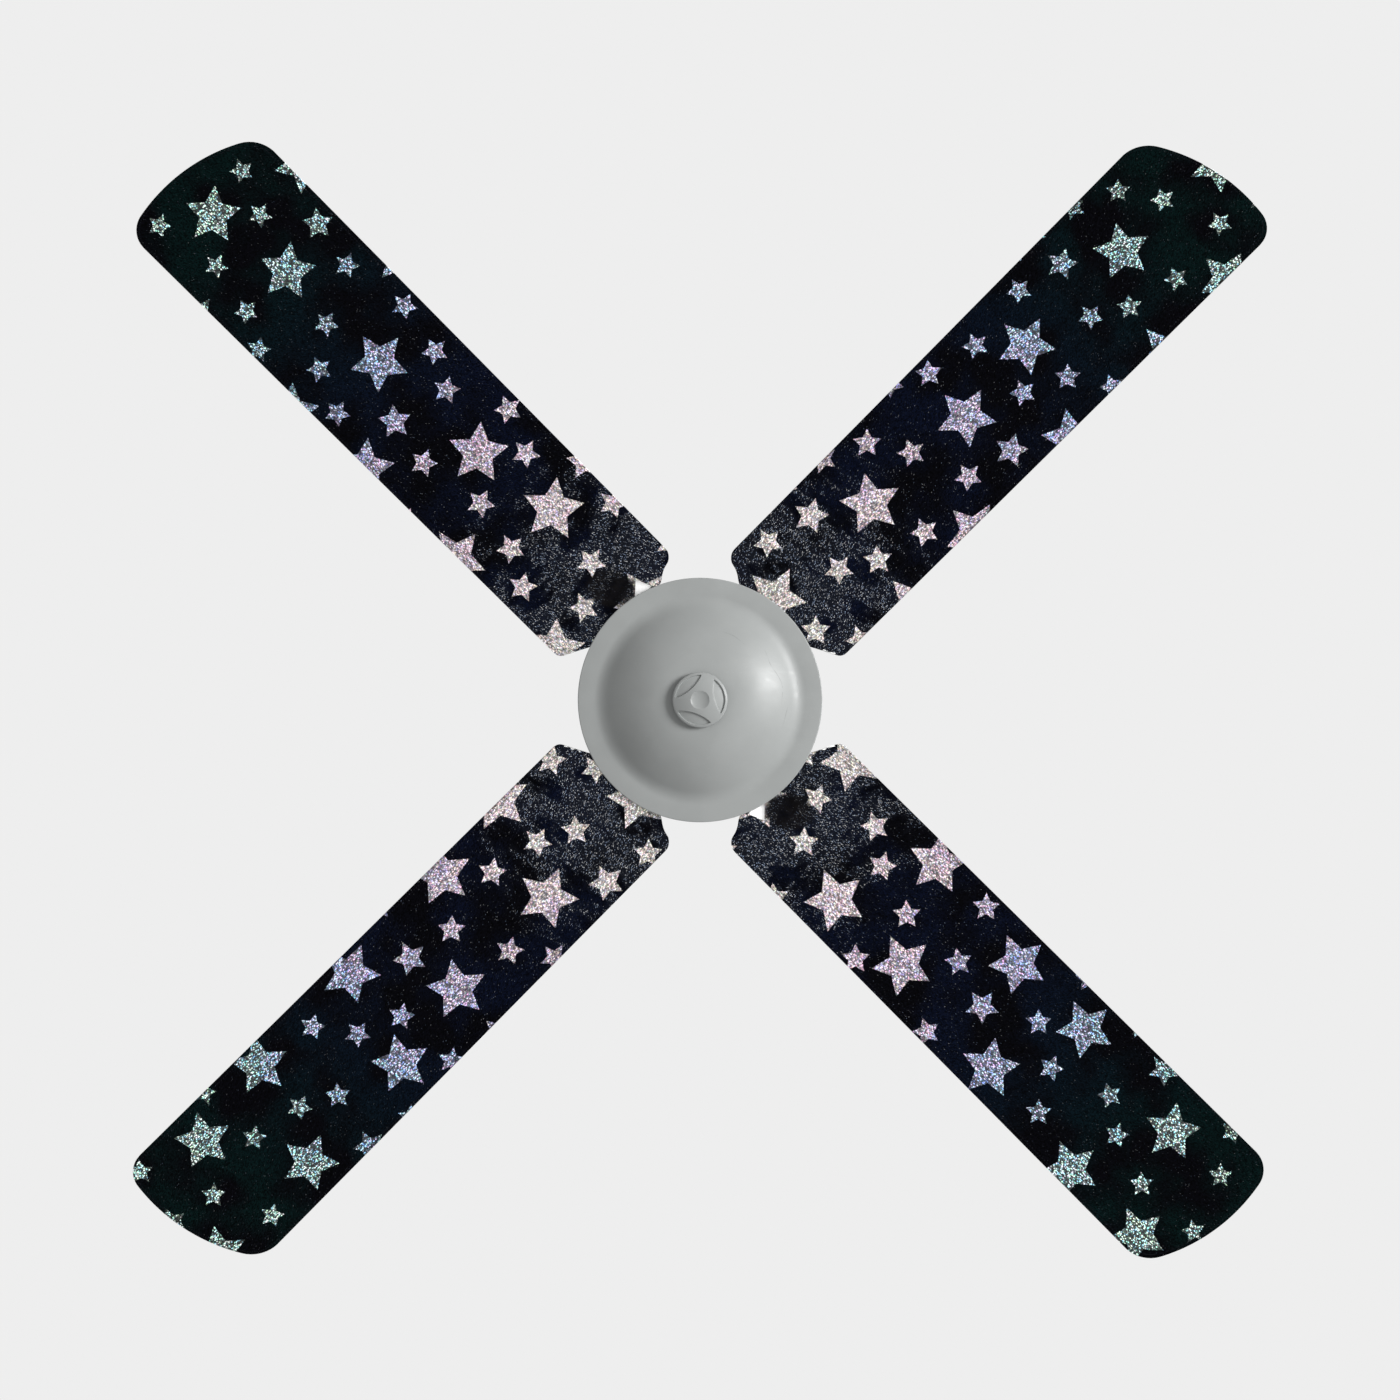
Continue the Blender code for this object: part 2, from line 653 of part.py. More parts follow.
def rotor_shell(name, side):
    """One half of the cast rotor shell. side is 1 for the upper half and -1 for the lower half."""
    mouth = BEARING_OFFSET - BEARING_WIDTH / 2
    pocket = BEARING_OFFSET + BEARING_WIDTH / 2 + GAP
    face = (SHELL_TOP - MOTOR_MIDDLE) if side > 0 else (MOTOR_MIDDLE - SHELL_BOTTOM)
    rounded_shoulder = [(64 * MM, face), (72 * MM, face - 3 * MM), (SHELL_RADIUS, face - 10 * MM)]
    flat_shoulder = [(SHELL_RADIUS - MM, face), (SHELL_RADIUS, face - MM)]
    outline = [
        (SHELL_BORE, face),
        *(rounded_shoulder if side > 0 else flat_shoulder),
        (SHELL_RADIUS, GAP / 2),
        (SHELL_INNER, GAP / 2),
        (SHELL_INNER, 12 * MM),
        (60 * MM, 16 * MM),
        (27 * MM, face - 4.5 * MM),
        (23 * MM, mouth),
        (BEARING_RADIUS + GAP, mouth),
        (BEARING_RADIUS + GAP, pocket),
        (SHELL_BORE, pocket),
    ]
    shell = lathe(name, [(radius, MOTOR_MIDDLE + side * height) for radius, height in outline], 32)
    reach = 9 * MM if side > 0 else face + 2 * MM
    for x, y in foot_screw_places():
        ends = ((x, y, MOTOR_MIDDLE - 2 * MM * side), (x, y, MOTOR_MIDDLE + reach * side))
        cut(shell, cylinder("screw_cutter", FOOT_SCREW_SHANK + GAP, *ends, 8))
    return shell


def rotor_ring():
    """Ring of magnets inside the shell's wall."""
    half = ROTOR_RING_HEIGHT / 2
    low, high = MOTOR_MIDDLE - half, MOTOR_MIDDLE + half
    outer = SHELL_INNER - GAP
    outline = [(ROTOR_RING_INNER, low), (outer, low), (outer, high), (ROTOR_RING_INNER, high)]
    return lathe("rotor_ring", outline, 32)


def stator_core():
    """Stack of toothed plates on the shaft, one head on each tooth."""
    tooth, root, neck = 4 * MM, 30 * MM, 51 * MM
    head_turn = pi / TOOTH_COUNT - radians(2.6)
    outline = []
    for k in range(TOOTH_COUNT):
        middle = k * tau / TOOTH_COUNT
        shape = [(root, -asin(tooth / root)), (neck, -asin(tooth / neck)), (neck + 2 * MM, -head_turn)]
        shape += [(STATOR_RADIUS, -head_turn), (STATOR_RADIUS, 0)]
        shape += [(radius, -turn) for radius, turn in reversed(shape[:4])]
        outline += [(radius * cos(middle + turn), radius * sin(middle + turn)) for radius, turn in shape]
    half = STATOR_HEIGHT / 2
    core = slab("stator_core", outline, MOTOR_MIDDLE - half, MOTOR_MIDDLE + half)
    bore = cylinder(
        "bore_cutter", SHAFT_RADIUS + GAP, (0, 0, MOTOR_MIDDLE - 2 * half), (0, 0, MOTOR_MIDDLE + 2 * half), 24
    )
    return cut(core, bore)


def stator_winding():
    """All the coils as one varnished body, wound round the stator's teeth."""
    inner, outer, half = 33 * MM, 49 * MM, 11 * MM
    low, high, ease = MOTOR_MIDDLE - half, MOTOR_MIDDLE + half, 2.5 * MM
    outline = [
        (inner, low + ease),
        (inner + ease, low),
        (outer - ease, low),
        (outer, low + ease),
        (outer, high - ease),
        (outer - ease, high),
        (inner + ease, high),
        (inner, high - ease),
    ]
    coils = lathe("stator_winding", outline, 24)
    gap_x, gap_y, gap_z = 62 * MM, 4 * MM + GAP, STATOR_HEIGHT / 2 + GAP
    for k in range(TOOTH_COUNT):
        tooth = box("tooth_cutter", (20 * MM, -gap_y, MOTOR_MIDDLE - gap_z), (gap_x, gap_y, MOTOR_MIDDLE + gap_z))
        tooth.data.transform(Matrix.Rotation(k * tau / TOOTH_COUNT, 4, "Z"))
        cut(coils, tooth)
    return coils


def bearing_ring(name, inner, outer, height, groove_side):
    """A bearing ring. groove_side is 1 when the ball groove is on its outer face and -1 on its inner face."""
    groove = BALL_RADIUS + GAP
    face = outer if groove_side > 0 else inner
    back = inner if groove_side > 0 else outer
    reach = acos(abs(BALL_PITCH_RADIUS - face) / groove)
    half = BEARING_WIDTH / 2
    track = [
        (BALL_PITCH_RADIUS - groove_side * groove * cos(turn), height + groove * sin(turn))
        for turn in (reach * (k / 2 - 1) for k in range(5))
    ]
    outline = [(back, height - half), (face, height - half), *track, (face, height + half), (back, height + half)]
    return lathe(name, outline, 20)


def ball_cage(name, height):
    """A pressed ring with the balls held in it."""
    inner, outer, half = BALL_PITCH_RADIUS - 0.7 * MM, BALL_PITCH_RADIUS + 0.7 * MM, 1.5 * MM
    outline = [(inner, height - half), (outer, height - half), (outer, height + half), (inner, height + half)]
    cage = lathe(name, outline, 21)
    for k in range(BALL_COUNT):
        bm = bmesh.new()
        bmesh.ops.create_uvsphere(bm, u_segments=6, v_segments=4, radius=BALL_RADIUS)
        turn = (k + 0.25) * tau / BALL_COUNT
        centre = Vector((BALL_PITCH_RADIUS * cos(turn), BALL_PITCH_RADIUS * sin(turn), height))
        bmesh.ops.translate(bm, verts=bm.verts, vec=centre)
        join(cage, finish("ball", bm))
    return cage


# ---------------------------------------------------------------- blades, brackets and blade covers


def corner_centre(side, corner, circle, radius, towards_tip):
    """Centre of a corner that is tangent to one long edge and, from inside, to an end arc."""
    slope = atan2(TIP_HALF_WIDTH - ROOT_HALF_WIDTH, WIDTH_PLACES[1] - WIDTH_PLACES[0])
    along = Vector((cos(slope), side * sin(slope)))
    outward = Vector((-sin(slope), side * cos(slope)))
    start = Vector((WIDTH_PLACES[0], side * ROOT_HALF_WIDTH)) - corner * outward - Vector(circle)
    half = start.dot(along)
    root = sqrt(half**2 - start.length_squared + (radius - corner) ** 2)
    centre = Vector(circle) + start + along * (-half + (root if towards_tip else -root))
    edge_turn = atan2(outward.y, outward.x)
    spoke = centre - Vector(circle)
    return centre, edge_turn, atan2(spoke.y, spoke.x)


def sleeve_outline(inset):
    """Outline in (distance from the fan's axis, distance across the bracket's axis), moved in by inset."""
    tip_arc, long_corner, short_corner = TIP_ARC, TIP_LONG_CORNER, TIP_SHORT_CORNER
    tip = (SWEEP_RADIUS - TIP_ARC, TIP_ARC_OFFSET)
    root = (ROOT_RADIUS + ROOT_ARC, 0)
    long_tip, long_edge, long_end = corner_centre(-1, long_corner, tip, tip_arc, True)
    short_tip, short_edge, short_end = corner_centre(1, short_corner, tip, tip_arc, True)
    upper_root, upper_edge, upper_end = corner_centre(1, ROOT_CORNER, root, ROOT_ARC, False)
    lower_root, lower_edge, lower_end = corner_centre(-1, ROOT_CORNER, root, ROOT_ARC, False)
    arcs = (
        (long_tip, long_corner, long_edge, long_end, 4),
        (tip, tip_arc, long_end, short_end, 6),
        (short_tip, short_corner, short_end, short_edge, 3),
        (upper_root, ROOT_CORNER, upper_edge, upper_end, 2),
        (root, ROOT_ARC, upper_end, lower_end + tau, 6),
        (lower_root, ROOT_CORNER, lower_end, lower_edge, 2),
    )
    points = []
    for centre, radius, start, end, steps in arcs:
        for point in arc(centre, radius - inset, start, end, steps):
            if not points or (Vector(point) - Vector(points[-1])).length > 0.01 * MM:
                points.append(point)
    return [(distance, across + BLADE_OFFSET) for distance, across in points]


def stacked(name, layers):
    """A closed body lofted through outlines with equal point counts, given as (outline, height) layers."""
    bm = bmesh.new()
    rings = [[bm.verts.new((x, y, height)) for x, y in outline] for outline, height in layers]
    for lower, upper in zip(rings, rings[1:]):
        for k in range(len(lower)):
            bm.faces.new((lower[k - 1], lower[k], upper[k], upper[k - 1]))
    bm.faces.new(rings[0])
    bm.faces.new(rings[-1])
    return finish(name, bm)


def pocket(name, wall):
    """The sleeve's pillow shape, moved in by a wall's thickness."""
    middle = (COVER_TOP + COVER_BOTTOM) / 2
    rise = (COVER_TOP - COVER_BOTTOM) / 2 - wall
    levels = ((-1, 2.2), (-0.5, 0), (0.5, 0), (1, 2.2))
    return stacked(name, [(sleeve_outline(wall + pull * MM), middle + rise * level) for level, pull in levels])


def bump(name, wall):
    """The raised part of the sleeve over the bracket's palm."""
    half_width = COVER_BUMP_HALF_WIDTH - wall
    start, end = ROOT_RADIUS + 18 * MM - wall, COVER_BUMP_END - wall
    length = (end - start) / 2
    shift = Matrix.Translation(((start + end) / 2, 0, 0))
    base, top = COVER_TOP - 3 * MM, COVER_BUMP_TOP - wall
    wide = rounded_rectangle(length, half_width, 12 * MM, 3)
    narrow = rounded_rectangle(length - 2.5 * MM, half_width - 2.5 * MM, 10 * MM, 3)
    raised = stacked(name, [(wide, base), (wide, top - 1.5 * MM), (narrow, top)])
    raised.data.transform(shift)
    return raised


def blade_cover():
    """Fabric sleeve: a closed pocket with a mouth at the root for the bracket."""
    sleeve = pocket("blade_cover", 0)
    width, low = COVER_MOUTH_HALF_WIDTH, COVER_BOTTOM + COVER_WALL
    inside_top = COVER_BUMP_TOP - COVER_WALL
    throat = box("throat", (88.2 * MM, -width - 3 * MM, 0), (112 * MM, width + 3 * MM, COVER_BUMP_TOP - 0.4 * MM))
    join(sleeve, bump("bump", 0), throat)
    cut(sleeve, pocket("pocket_cutter", COVER_WALL))
    cut(sleeve, bump("bump_cutter", COVER_WALL))
    mouth = box(
        "mouth_cutter",
        (ROOT_RADIUS - 4 * MM, -width, low + 0.4 * MM),
        (COVER_MOUTH_END + 8 * MM, width, inside_top - 0.6 * MM),
    )
    return cut(sleeve, mouth)


def blade():
    half = BLADE_THICKNESS / 2
    edge = 0.8 * MM
    full, eased = sleeve_outline(BLADE_INSET), sleeve_outline(BLADE_INSET + edge)
    board = stacked("blade", [(eased, -half), (full, edge - half), (full, half - edge), (eased, half)])
    for x, y in RIVET_PLACES:
        cut(board, cylinder("rivet_cutter", RIVET_RADIUS + GAP, (x, y, -2 * half), (x, y, 2 * half), 10))
    return board


def bracket_half_width(distance):
    for (start, narrow), (end, wide) in zip(BRACKET_WIDTHS, BRACKET_WIDTHS[1:]):
        if start <= distance <= end:
            return narrow + (wide - narrow) * (distance - start) / (end - start)
    return BRACKET_WIDTHS[-1][1]


def twist_at(distance):
    """How far the bracket has turned towards the blade's pitch at a distance from the fan's axis."""
    share = min(1, max(0, (distance - TWIST_START) / (TWIST_END - TWIST_START)))
    return PITCH * share * share * (3 - 2 * share)


def blade_bracket():
    """Foot, twisted neck and palm, with the palm's rivets. Made flat, then twisted."""
    low, high = BRACKET_LOW, BRACKET_LOW + BRACKET_THICKNESS
    twisting = [TWIST_START + (TWIST_END - TWIST_START) * k / 4 for k in range(5)]
    stations = sorted({round(place, 6) for place in [*twisting, *(place for place, _ in BRACKET_WIDTHS)]})
    bm = bmesh.new()
    rings = []
    for x in stations:
        y = bracket_half_width(x)
        rings.append([bm.verts.new(corner) for corner in ((x, -y, low), (x, y, low), (x, y, high), (x, -y, high))])
    for one, other in zip(rings, rings[1:]):
        for k in range(4):
            bm.faces.new((one[k - 1], one[k], other[k], other[k - 1]))
    bm.faces.new(rings[0])
    bm.faces.new(rings[-1])
    bracket = finish("blade_bracket", bm)
    for side in (-1, 1):
        x, y = FOOT_SCREW_RADIUS, side * FOOT_SCREW_SPACING
        cut(bracket, cylinder("screw_cutter", FOOT_SCREW_SHANK + GAP, (x, y, 0), (x, y, 10 * MM), 8))
    under = -BLADE_THICKNESS / 2 - GAP
    head = [(RIVET_HEAD_RADIUS, 0), (RIVET_HEAD_RADIUS * 0.8, RIVET_HEAD * 0.7), (0, RIVET_HEAD)]
    for x, y in RIVET_PLACES:
        outline = [(radius, under - height) for radius, height in reversed(head)]
        outline += [(RIVET_RADIUS, under), (RIVET_RADIUS, high - 0.3 * MM)]
        outline += [(RIVET_HEAD_RADIUS, high - 0.3 * MM)]
        outline += [(radius, high + height) for radius, height in head]
        rivet = lathe("rivet", outline, 8)
        rivet.data.transform(Matrix.Translation((x, y, 0)))
        join(bracket, rivet)
    for vertex in bracket.data.vertices:
        x, y, z = vertex.co
        turn = twist_at(x)
        vertex.co = (x, y * cos(turn) - z * sin(turn), y * sin(turn) + z * cos(turn))
    return bracket


def place_on_arms(master, names, pitch, copies, turn_over=False):
    """Copies a piece made along +X on the blade's plane to every arm. turn_over mirrors arms one and three."""
    for k, name in enumerate(names):
        copy = bpy.data.objects.new(name, master.data.copy())
        if turn_over and k % 2 == 0:
            copy.data.transform(Matrix.Scale(-1, 4, (0, 1, 0)))
            copy.data.flip_normals()
        arm = Matrix.Rotation(FIRST_BLADE + k * tau / BLADE_COUNT, 4, "Z")
        lift = Matrix.Translation((0, 0, BLADE_PLANE))
        copy.data.transform(arm @ lift @ Matrix.Rotation(pitch, 4, "X"))
        bpy.context.scene.collection.objects.link(copy)
        copies.append(copy)
    bpy.data.objects.remove(master)


# ---------------------------------------------------------------- lower cover and knob


def dome_height(radius):
    """Outer height of the dome, flat in the middle and steepest at its rim."""
    share = max(0, (radius - DOME_FLAT) / (DOME_RADIUS - DOME_FLAT))
    return DISC_FACE - DOME_DEPTH * (1 - share**1.8)


def lower_cover():
    """Domed disc with a flat rim and a lip. Its boss inside meets the nut on the shaft."""
    steps = 5
    radii = [DOME_FLAT + (DOME_RADIUS - DOME_FLAT) * k / steps for k in range(steps + 1)]
    outside = [(radius, dome_height(radius)) for radius in radii]
    inside = [(radius, height + DISC_WALL * 1.15) for radius, height in outside]
    seat = SHAFT_END + MM - GAP
    outline = [
        (STUD_RADIUS + GAP, outside[0][1]),
        *outside,
        (DISC_RADIUS - MM, DISC_FACE),
        (DISC_RADIUS, DISC_FACE + MM),
        (DISC_RADIUS, DISC_TOP),
        (DISC_RADIUS - 1.6 * MM, DISC_TOP),
        (DISC_RADIUS - 1.6 * MM, DISC_FACE + DISC_WALL),
        *((radius, height) for radius, height in reversed(inside)),
        (BOSS_RADIUS, inside[0][1]),
        (BOSS_RADIUS, seat),
        (SHAFT_RADIUS + 0.8 * MM, seat),
        (SHAFT_RADIUS + 0.8 * MM, SHAFT_END - MM),
        (STUD_RADIUS + GAP, SHAFT_END - MM),
    ]
    return lathe("lower_cover", outline, 36)


def knob_washer():
    top = DISC_FACE - DOME_DEPTH - GAP
    bottom = top - WASHER_THICKNESS
    outline = [(STUD_RADIUS + GAP, bottom), (WASHER_RADIUS, bottom), (WASHER_RADIUS, top), (STUD_RADIUS + GAP, top)]
    return lathe("knob_washer", outline, 24)


def centre_knob():
    """Knob with its stud. Three lowered lens shapes leave a raised three-sided figure round the dimple."""
    top = DISC_FACE - DOME_DEPTH - WASHER_THICKNESS - 2 * GAP
    face = top - KNOB_THICKNESS
    dimple = [
        (KNOB_DIMPLE * k / 3, face + KNOB_DIMPLE_DEPTH * (1 - (k / 3) ** 2)) for k in range(4)
    ]
    outline = [
        *dimple,
        (KNOB_RADIUS - 1.2 * MM, face),
        (KNOB_RADIUS, face + 1.2 * MM),
        (KNOB_RADIUS, top - 0.8 * MM),
        (KNOB_RADIUS - 0.8 * MM, top),
        (STUD_RADIUS, top),
        (STUD_RADIUS, STUD_TOP - MM),
        (STUD_RADIUS - MM, STUD_TOP),
        (0, STUD_TOP),
    ]
    knob = lathe("centre_knob", outline, 30)
    for k in range(3):
        turn = FIRST_LENS + k * tau / 3
        away = KNOB_LENS_NEAR + KNOB_LENS_RADIUS
        x, y = away * cos(turn), away * sin(turn)
        lens = cylinder("lens_cutter", KNOB_LENS_RADIUS, (x, y, face - MM), (x, y, face + KNOB_STEP), 40)
        limit = cylinder(
            "limit", KNOB_RADIUS - 1.2 * MM - KNOB_RIM, (0, 0, face - 2 * MM), (0, 0, face + 2 * KNOB_STEP), 30
        )
        cut(knob, combine(lens, limit, "INTERSECT"))
    return knob


# ---------------------------------------------------------------- the whole fan


def gather(body, place, parent, pieces):
    """Puts an empty on a joint's axis and makes it the parent of its pieces."""
    empty = bpy.data.objects.new(body, None)
    empty.empty_display_size = 0.03
    bpy.context.scene.collection.objects.link(empty)
    start = Vector((0, 0, 0)) if parent is None else Vector(parent["place"])
    empty.location = Vector(place) - start
    empty["place"] = tuple(place)
    empty.parent = parent
    for piece in pieces:
        piece.data.transform(Matrix.Translation(-Vector(place)))
        piece.parent = empty
    return empty


def colour(pieces, name, colour_roughness_metallic):
    material = paint(name, *colour_roughness_metallic)
    for piece in pieces:
        piece.data.materials.clear()
        piece.data.materials.append(material)


def build_fan():
    clear_scene()

    plate = hanger_bracket()
    block = terminal_block()
    fixed = gather("ceiling_part", (0, 0, 0), None, [plate, block])
    colour([plate], "bracket_zinc", ZINC)
    colour([block], "terminal_moulding", ((0.75, 0.74, 0.7), 0.5, 0.0))

    roller, sleeve = hanger_roller(), roller_sleeve()
    rocking = gather("rocking_part", (0, 0, HOOK_CENTRE - HOOK_RADIUS), fixed, [roller, sleeve])
    colour([roller], "roller_rubber", ((0.03, 0.03, 0.032), 0.75, 0.0))
    colour([sleeve], "sleeve_steel", STEEL)

    rod = downrod()
    pin, nut = shackle_pin(), shackle_nut()
    collar = shaft_coupling()
    cross_pin, clip, grub = coupling_pin(), coupling_clip(), coupling_grub_screw()
    shaft, seat_nut = motor_shaft(), shaft_nut()
    core, coils = stator_core(), stator_winding()
    ring_inner = SHAFT_RADIUS + GAP
    upper, lower = MOTOR_MIDDLE + BEARING_OFFSET, MOTOR_MIDDLE - BEARING_OFFSET
    inner_rings = [
        bearing_ring("upper_bearing_inner", ring_inner, 11.6 * MM, upper, 1),
        bearing_ring("lower_bearing_inner", ring_inner, 11.6 * MM, lower, 1),
    ]
    lead, can = supply_lead(), capacitor()
    hanging_pieces = [rod, pin, nut, collar, cross_pin, clip, grub, shaft, seat_nut, core, coils, lead, can]
    hanging = gather("hanging_part", (0, 0, PIN_HEIGHT), rocking, hanging_pieces + inner_rings)
    colour([rod], "rod_paint", GREY_PAINT)
    colour([pin, nut, cross_pin, grub, seat_nut], "fastener_zinc", ZINC)
    colour([collar], "coupling_casting", ((0.45, 0.46, 0.46), 0.45, 0.7))
    colour([clip], "spring_wire", STEEL)
    colour([shaft, *inner_rings], "ground_steel", STEEL)
    colour([core], "lamination_steel", ((0.25, 0.25, 0.26), 0.45, 0.8))
    colour([coils], "copper_winding", ((0.55, 0.2, 0.08), 0.35, 0.8))
    colour([lead], "lead_sheath", ((0.72, 0.72, 0.7), 0.5, 0.0))
    colour([can], "capacitor_moulding", ((0.04, 0.045, 0.05), 0.4, 0.0))

    top_cover, top_screw = canopy(), collar_screw("canopy_screw", -83.5 * MM)
    gather("canopy_part", (0, 0, -83.5 * MM), hanging, [top_cover, top_screw])
    low_bell, low_screw = coupling_cover(), collar_screw("coupling_cover_screw", -176 * MM)
    gather("coupling_cover_part", (0, 0, -176 * MM), hanging, [low_bell, low_screw])
    colour([top_cover], "canopy_paint", GREY_PAINT)
    colour([low_bell], "coupling_cover_paint", GREY_PAINT)
    colour([top_screw, low_screw], "collar_screw_zinc", ZINC)

    shells = [rotor_shell("rotor_shell_top", 1), rotor_shell("rotor_shell_bottom", -1)]
    magnets = rotor_ring()
    outer_rings = [
        bearing_ring("upper_bearing_outer", 15.4 * MM, BEARING_RADIUS, upper, -1),
        bearing_ring("lower_bearing_outer", 15.4 * MM, BEARING_RADIUS, lower, -1),
    ]
    numbers = range(1, BLADE_COUNT + 1)
    brackets, blades, covers = [], [], []
    place_on_arms(blade_bracket(), [f"blade_bracket_{n}" for n in numbers], 0, brackets)
    place_on_arms(blade(), [f"blade_{n}" for n in numbers], PITCH, blades, turn_over=True)
    place_on_arms(blade_cover(), [f"blade_cover_{n}" for n in numbers], PITCH, covers, turn_over=True)
    under_foot = BLADE_PLANE + BRACKET_LOW - GAP
    length = under_foot - MOTOR_MIDDLE
    foot_screws = [
        screw(f"foot_screw_{n}", (x, y, under_foot), (0, 0, 1), FOOT_SCREW_SHANK, 7 * MM - length, 4 * MM, 2.6 * MM)
        for n, (x, y) in enumerate(foot_screw_places(), 1)
    ]
    spinning_pieces = [*shells, magnets, *outer_rings, *brackets, *blades, *covers, *foot_screws]
    gather("spinning_part", (0, 0, MOTOR_MIDDLE), hanging, spinning_pieces)
    colour(shells, "shell_paint", GREY_PAINT)
    colour([magnets], "magnet_ferrite", ((0.05, 0.05, 0.055), 0.5, 0.3))
    colour(outer_rings, "race_steel", STEEL)
    colour(brackets, "arm_paint", ((0.3, 0.31, 0.31), 0.4, 0.2))
    colour(blades, "blade_board", ((0.62, 0.6, 0.55), 0.5, 0.0))
    colour(covers, "cover_fabric", ((0.012, 0.013, 0.02), 0.7, 0.0))
    colour(foot_screws, "foot_screw_zinc", ZINC)

    cages = [ball_cage("upper_ball_cage", upper), ball_cage("lower_ball_cage", lower)]
    gather("upper_cage_part", (0, 0, upper), hanging, cages[:1])
    gather("lower_cage_part", (0, 0, lower), hanging, cages[1:])
    colour(cages, "ball_steel", STEEL)

    dome, washer = lower_cover(), knob_washer()
    dropping = gather("lower_cover_part", (0, 0, DISC_FACE), hanging, [dome, washer])
    knob = centre_knob()
    gather("knob_part", (0, 0, DISC_FACE - DOME_DEPTH), dropping, [knob])
    colour([dome], "lower_cover_plastic", GREY_PAINT)
    colour([washer], "washer_nylon", ((0.8, 0.8, 0.78), 0.5, 0.0))
    colour([knob], "knob_plastic", GREY_PAINT)


build_fan()
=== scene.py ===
"""Looks of a ceiling fan whose blades wear star-print sleeves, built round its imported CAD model.

Sizes are in metres, written as N * MM. The frame has +Z up and the spin axis on Z. Each arm has its own
flat coordinates: reach, the distance from the spin axis along the arm, across, the distance from the arm's
long axis counted anticlockwise as seen from above, and lift, the height over the blade's mid surface.
"""

from fnmatch import filter as matching
from functools import reduce
from math import atan2, cos, exp, pi, radians, sin, sqrt, tau

import bmesh
import bpy
import numpy as np
from mathutils import Matrix, Vector


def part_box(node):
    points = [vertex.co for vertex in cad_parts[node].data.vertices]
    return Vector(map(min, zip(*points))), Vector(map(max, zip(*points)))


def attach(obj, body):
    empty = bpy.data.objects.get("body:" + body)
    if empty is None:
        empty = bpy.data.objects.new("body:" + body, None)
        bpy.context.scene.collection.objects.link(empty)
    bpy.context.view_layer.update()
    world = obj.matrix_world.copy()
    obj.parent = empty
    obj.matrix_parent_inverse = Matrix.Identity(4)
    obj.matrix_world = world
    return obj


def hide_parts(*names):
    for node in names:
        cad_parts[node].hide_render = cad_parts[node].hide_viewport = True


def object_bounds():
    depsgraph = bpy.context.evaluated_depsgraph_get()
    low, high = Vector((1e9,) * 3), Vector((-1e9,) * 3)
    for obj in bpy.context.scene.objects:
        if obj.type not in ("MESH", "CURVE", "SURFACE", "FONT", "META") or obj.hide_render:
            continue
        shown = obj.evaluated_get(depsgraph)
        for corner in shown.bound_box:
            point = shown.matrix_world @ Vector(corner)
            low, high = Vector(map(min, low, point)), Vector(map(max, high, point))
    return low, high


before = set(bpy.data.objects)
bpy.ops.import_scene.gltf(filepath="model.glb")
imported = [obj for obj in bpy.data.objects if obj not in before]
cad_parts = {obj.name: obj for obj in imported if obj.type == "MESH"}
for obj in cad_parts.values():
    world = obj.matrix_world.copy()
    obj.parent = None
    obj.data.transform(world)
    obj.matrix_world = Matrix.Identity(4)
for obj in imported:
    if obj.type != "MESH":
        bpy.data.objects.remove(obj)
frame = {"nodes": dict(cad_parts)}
cad_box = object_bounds()

MM = 0.001

# Arms
ARM_COUNT = 4
FIRST_ARM = radians(45)
PITCH = radians(-11)
BLADE_PLANE = sum(corner[2] for name in ("blade_1", "blade_2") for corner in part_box(name)) / 4

# Sleeve outline, on each side of the blade's middle line
BLADE_OFFSET = -5.15 * MM  # the blade's middle line lies this far beside the arm's axis
SWEEP = 600 * MM
TIP_ARC = 156 * MM
TIP_OFFSET = 25.5 * MM  # the tip's arc is centred towards one edge
TIP_SHORT_CORNER = 19.5 * MM
TIP_LONG_CORNER = 30 * MM
ROOT_REACH = 84 * MM
ROOT_ARC = 119 * MM
ROOT_CORNER = 7 * MM
WIDTH_PLACES = (105 * MM, 545 * MM)
HALF_WIDTHS = (62.7 * MM, 65.7 * MM)

# Sleeve section
SEAM_ROUND = 4.6 * MM  # how far from a sewn edge the cloth has opened round the board
UNDER_LIFT = -2.3 * MM
OVER_LIFT = 2.2 * MM
PALM_RISE = 5.2 * MM
PALM_END = 147 * MM
PALM_HALF_WIDTH = 23 * MM
MOUTH_HALF_WIDTH = 29 * MM
TURNED_MOUTH = 43 * MM  # the mouth reaches this far to one side on the turned-over sleeves
NOTCH_REACH = 106 * MM  # a gap in the hem shows the white board on two of the sleeves
NOTCH_ACROSS = 33.6 * MM
FACING_MIDDLE = (114 * MM, 15 * MM)  # a plain patch on the under sheet beside that gap
FACING_SIZE = (21 * MM, 15 * MM)
FACING_TURN = radians(-38)
CLOTH_THICKNESS = 0.6 * MM
EDGE_ROWS = (0, 0.5, 1.1, 1.9, 2.9, 4.2, 6.2, 8.8)  # mm from a sewn edge

# Cloth simulation
SETTLE_FRAMES = 26
SETTLE_LIMIT = 2.6 * MM  # no point of the cloth moves further than this
CLOTH = {
    "quality": 5,
    "mass": 0.05,
    "tension_stiffness": 20,
    "compression_stiffness": 20,
    "shear_stiffness": 8,
    "bending_stiffness": 0.12,
    "air_damping": 2,
    "vertex_group_mass": "held",
    "vertex_group_shrink": "slack",
    "shrink_min": 0.0,
    "shrink_max": -0.006,
}

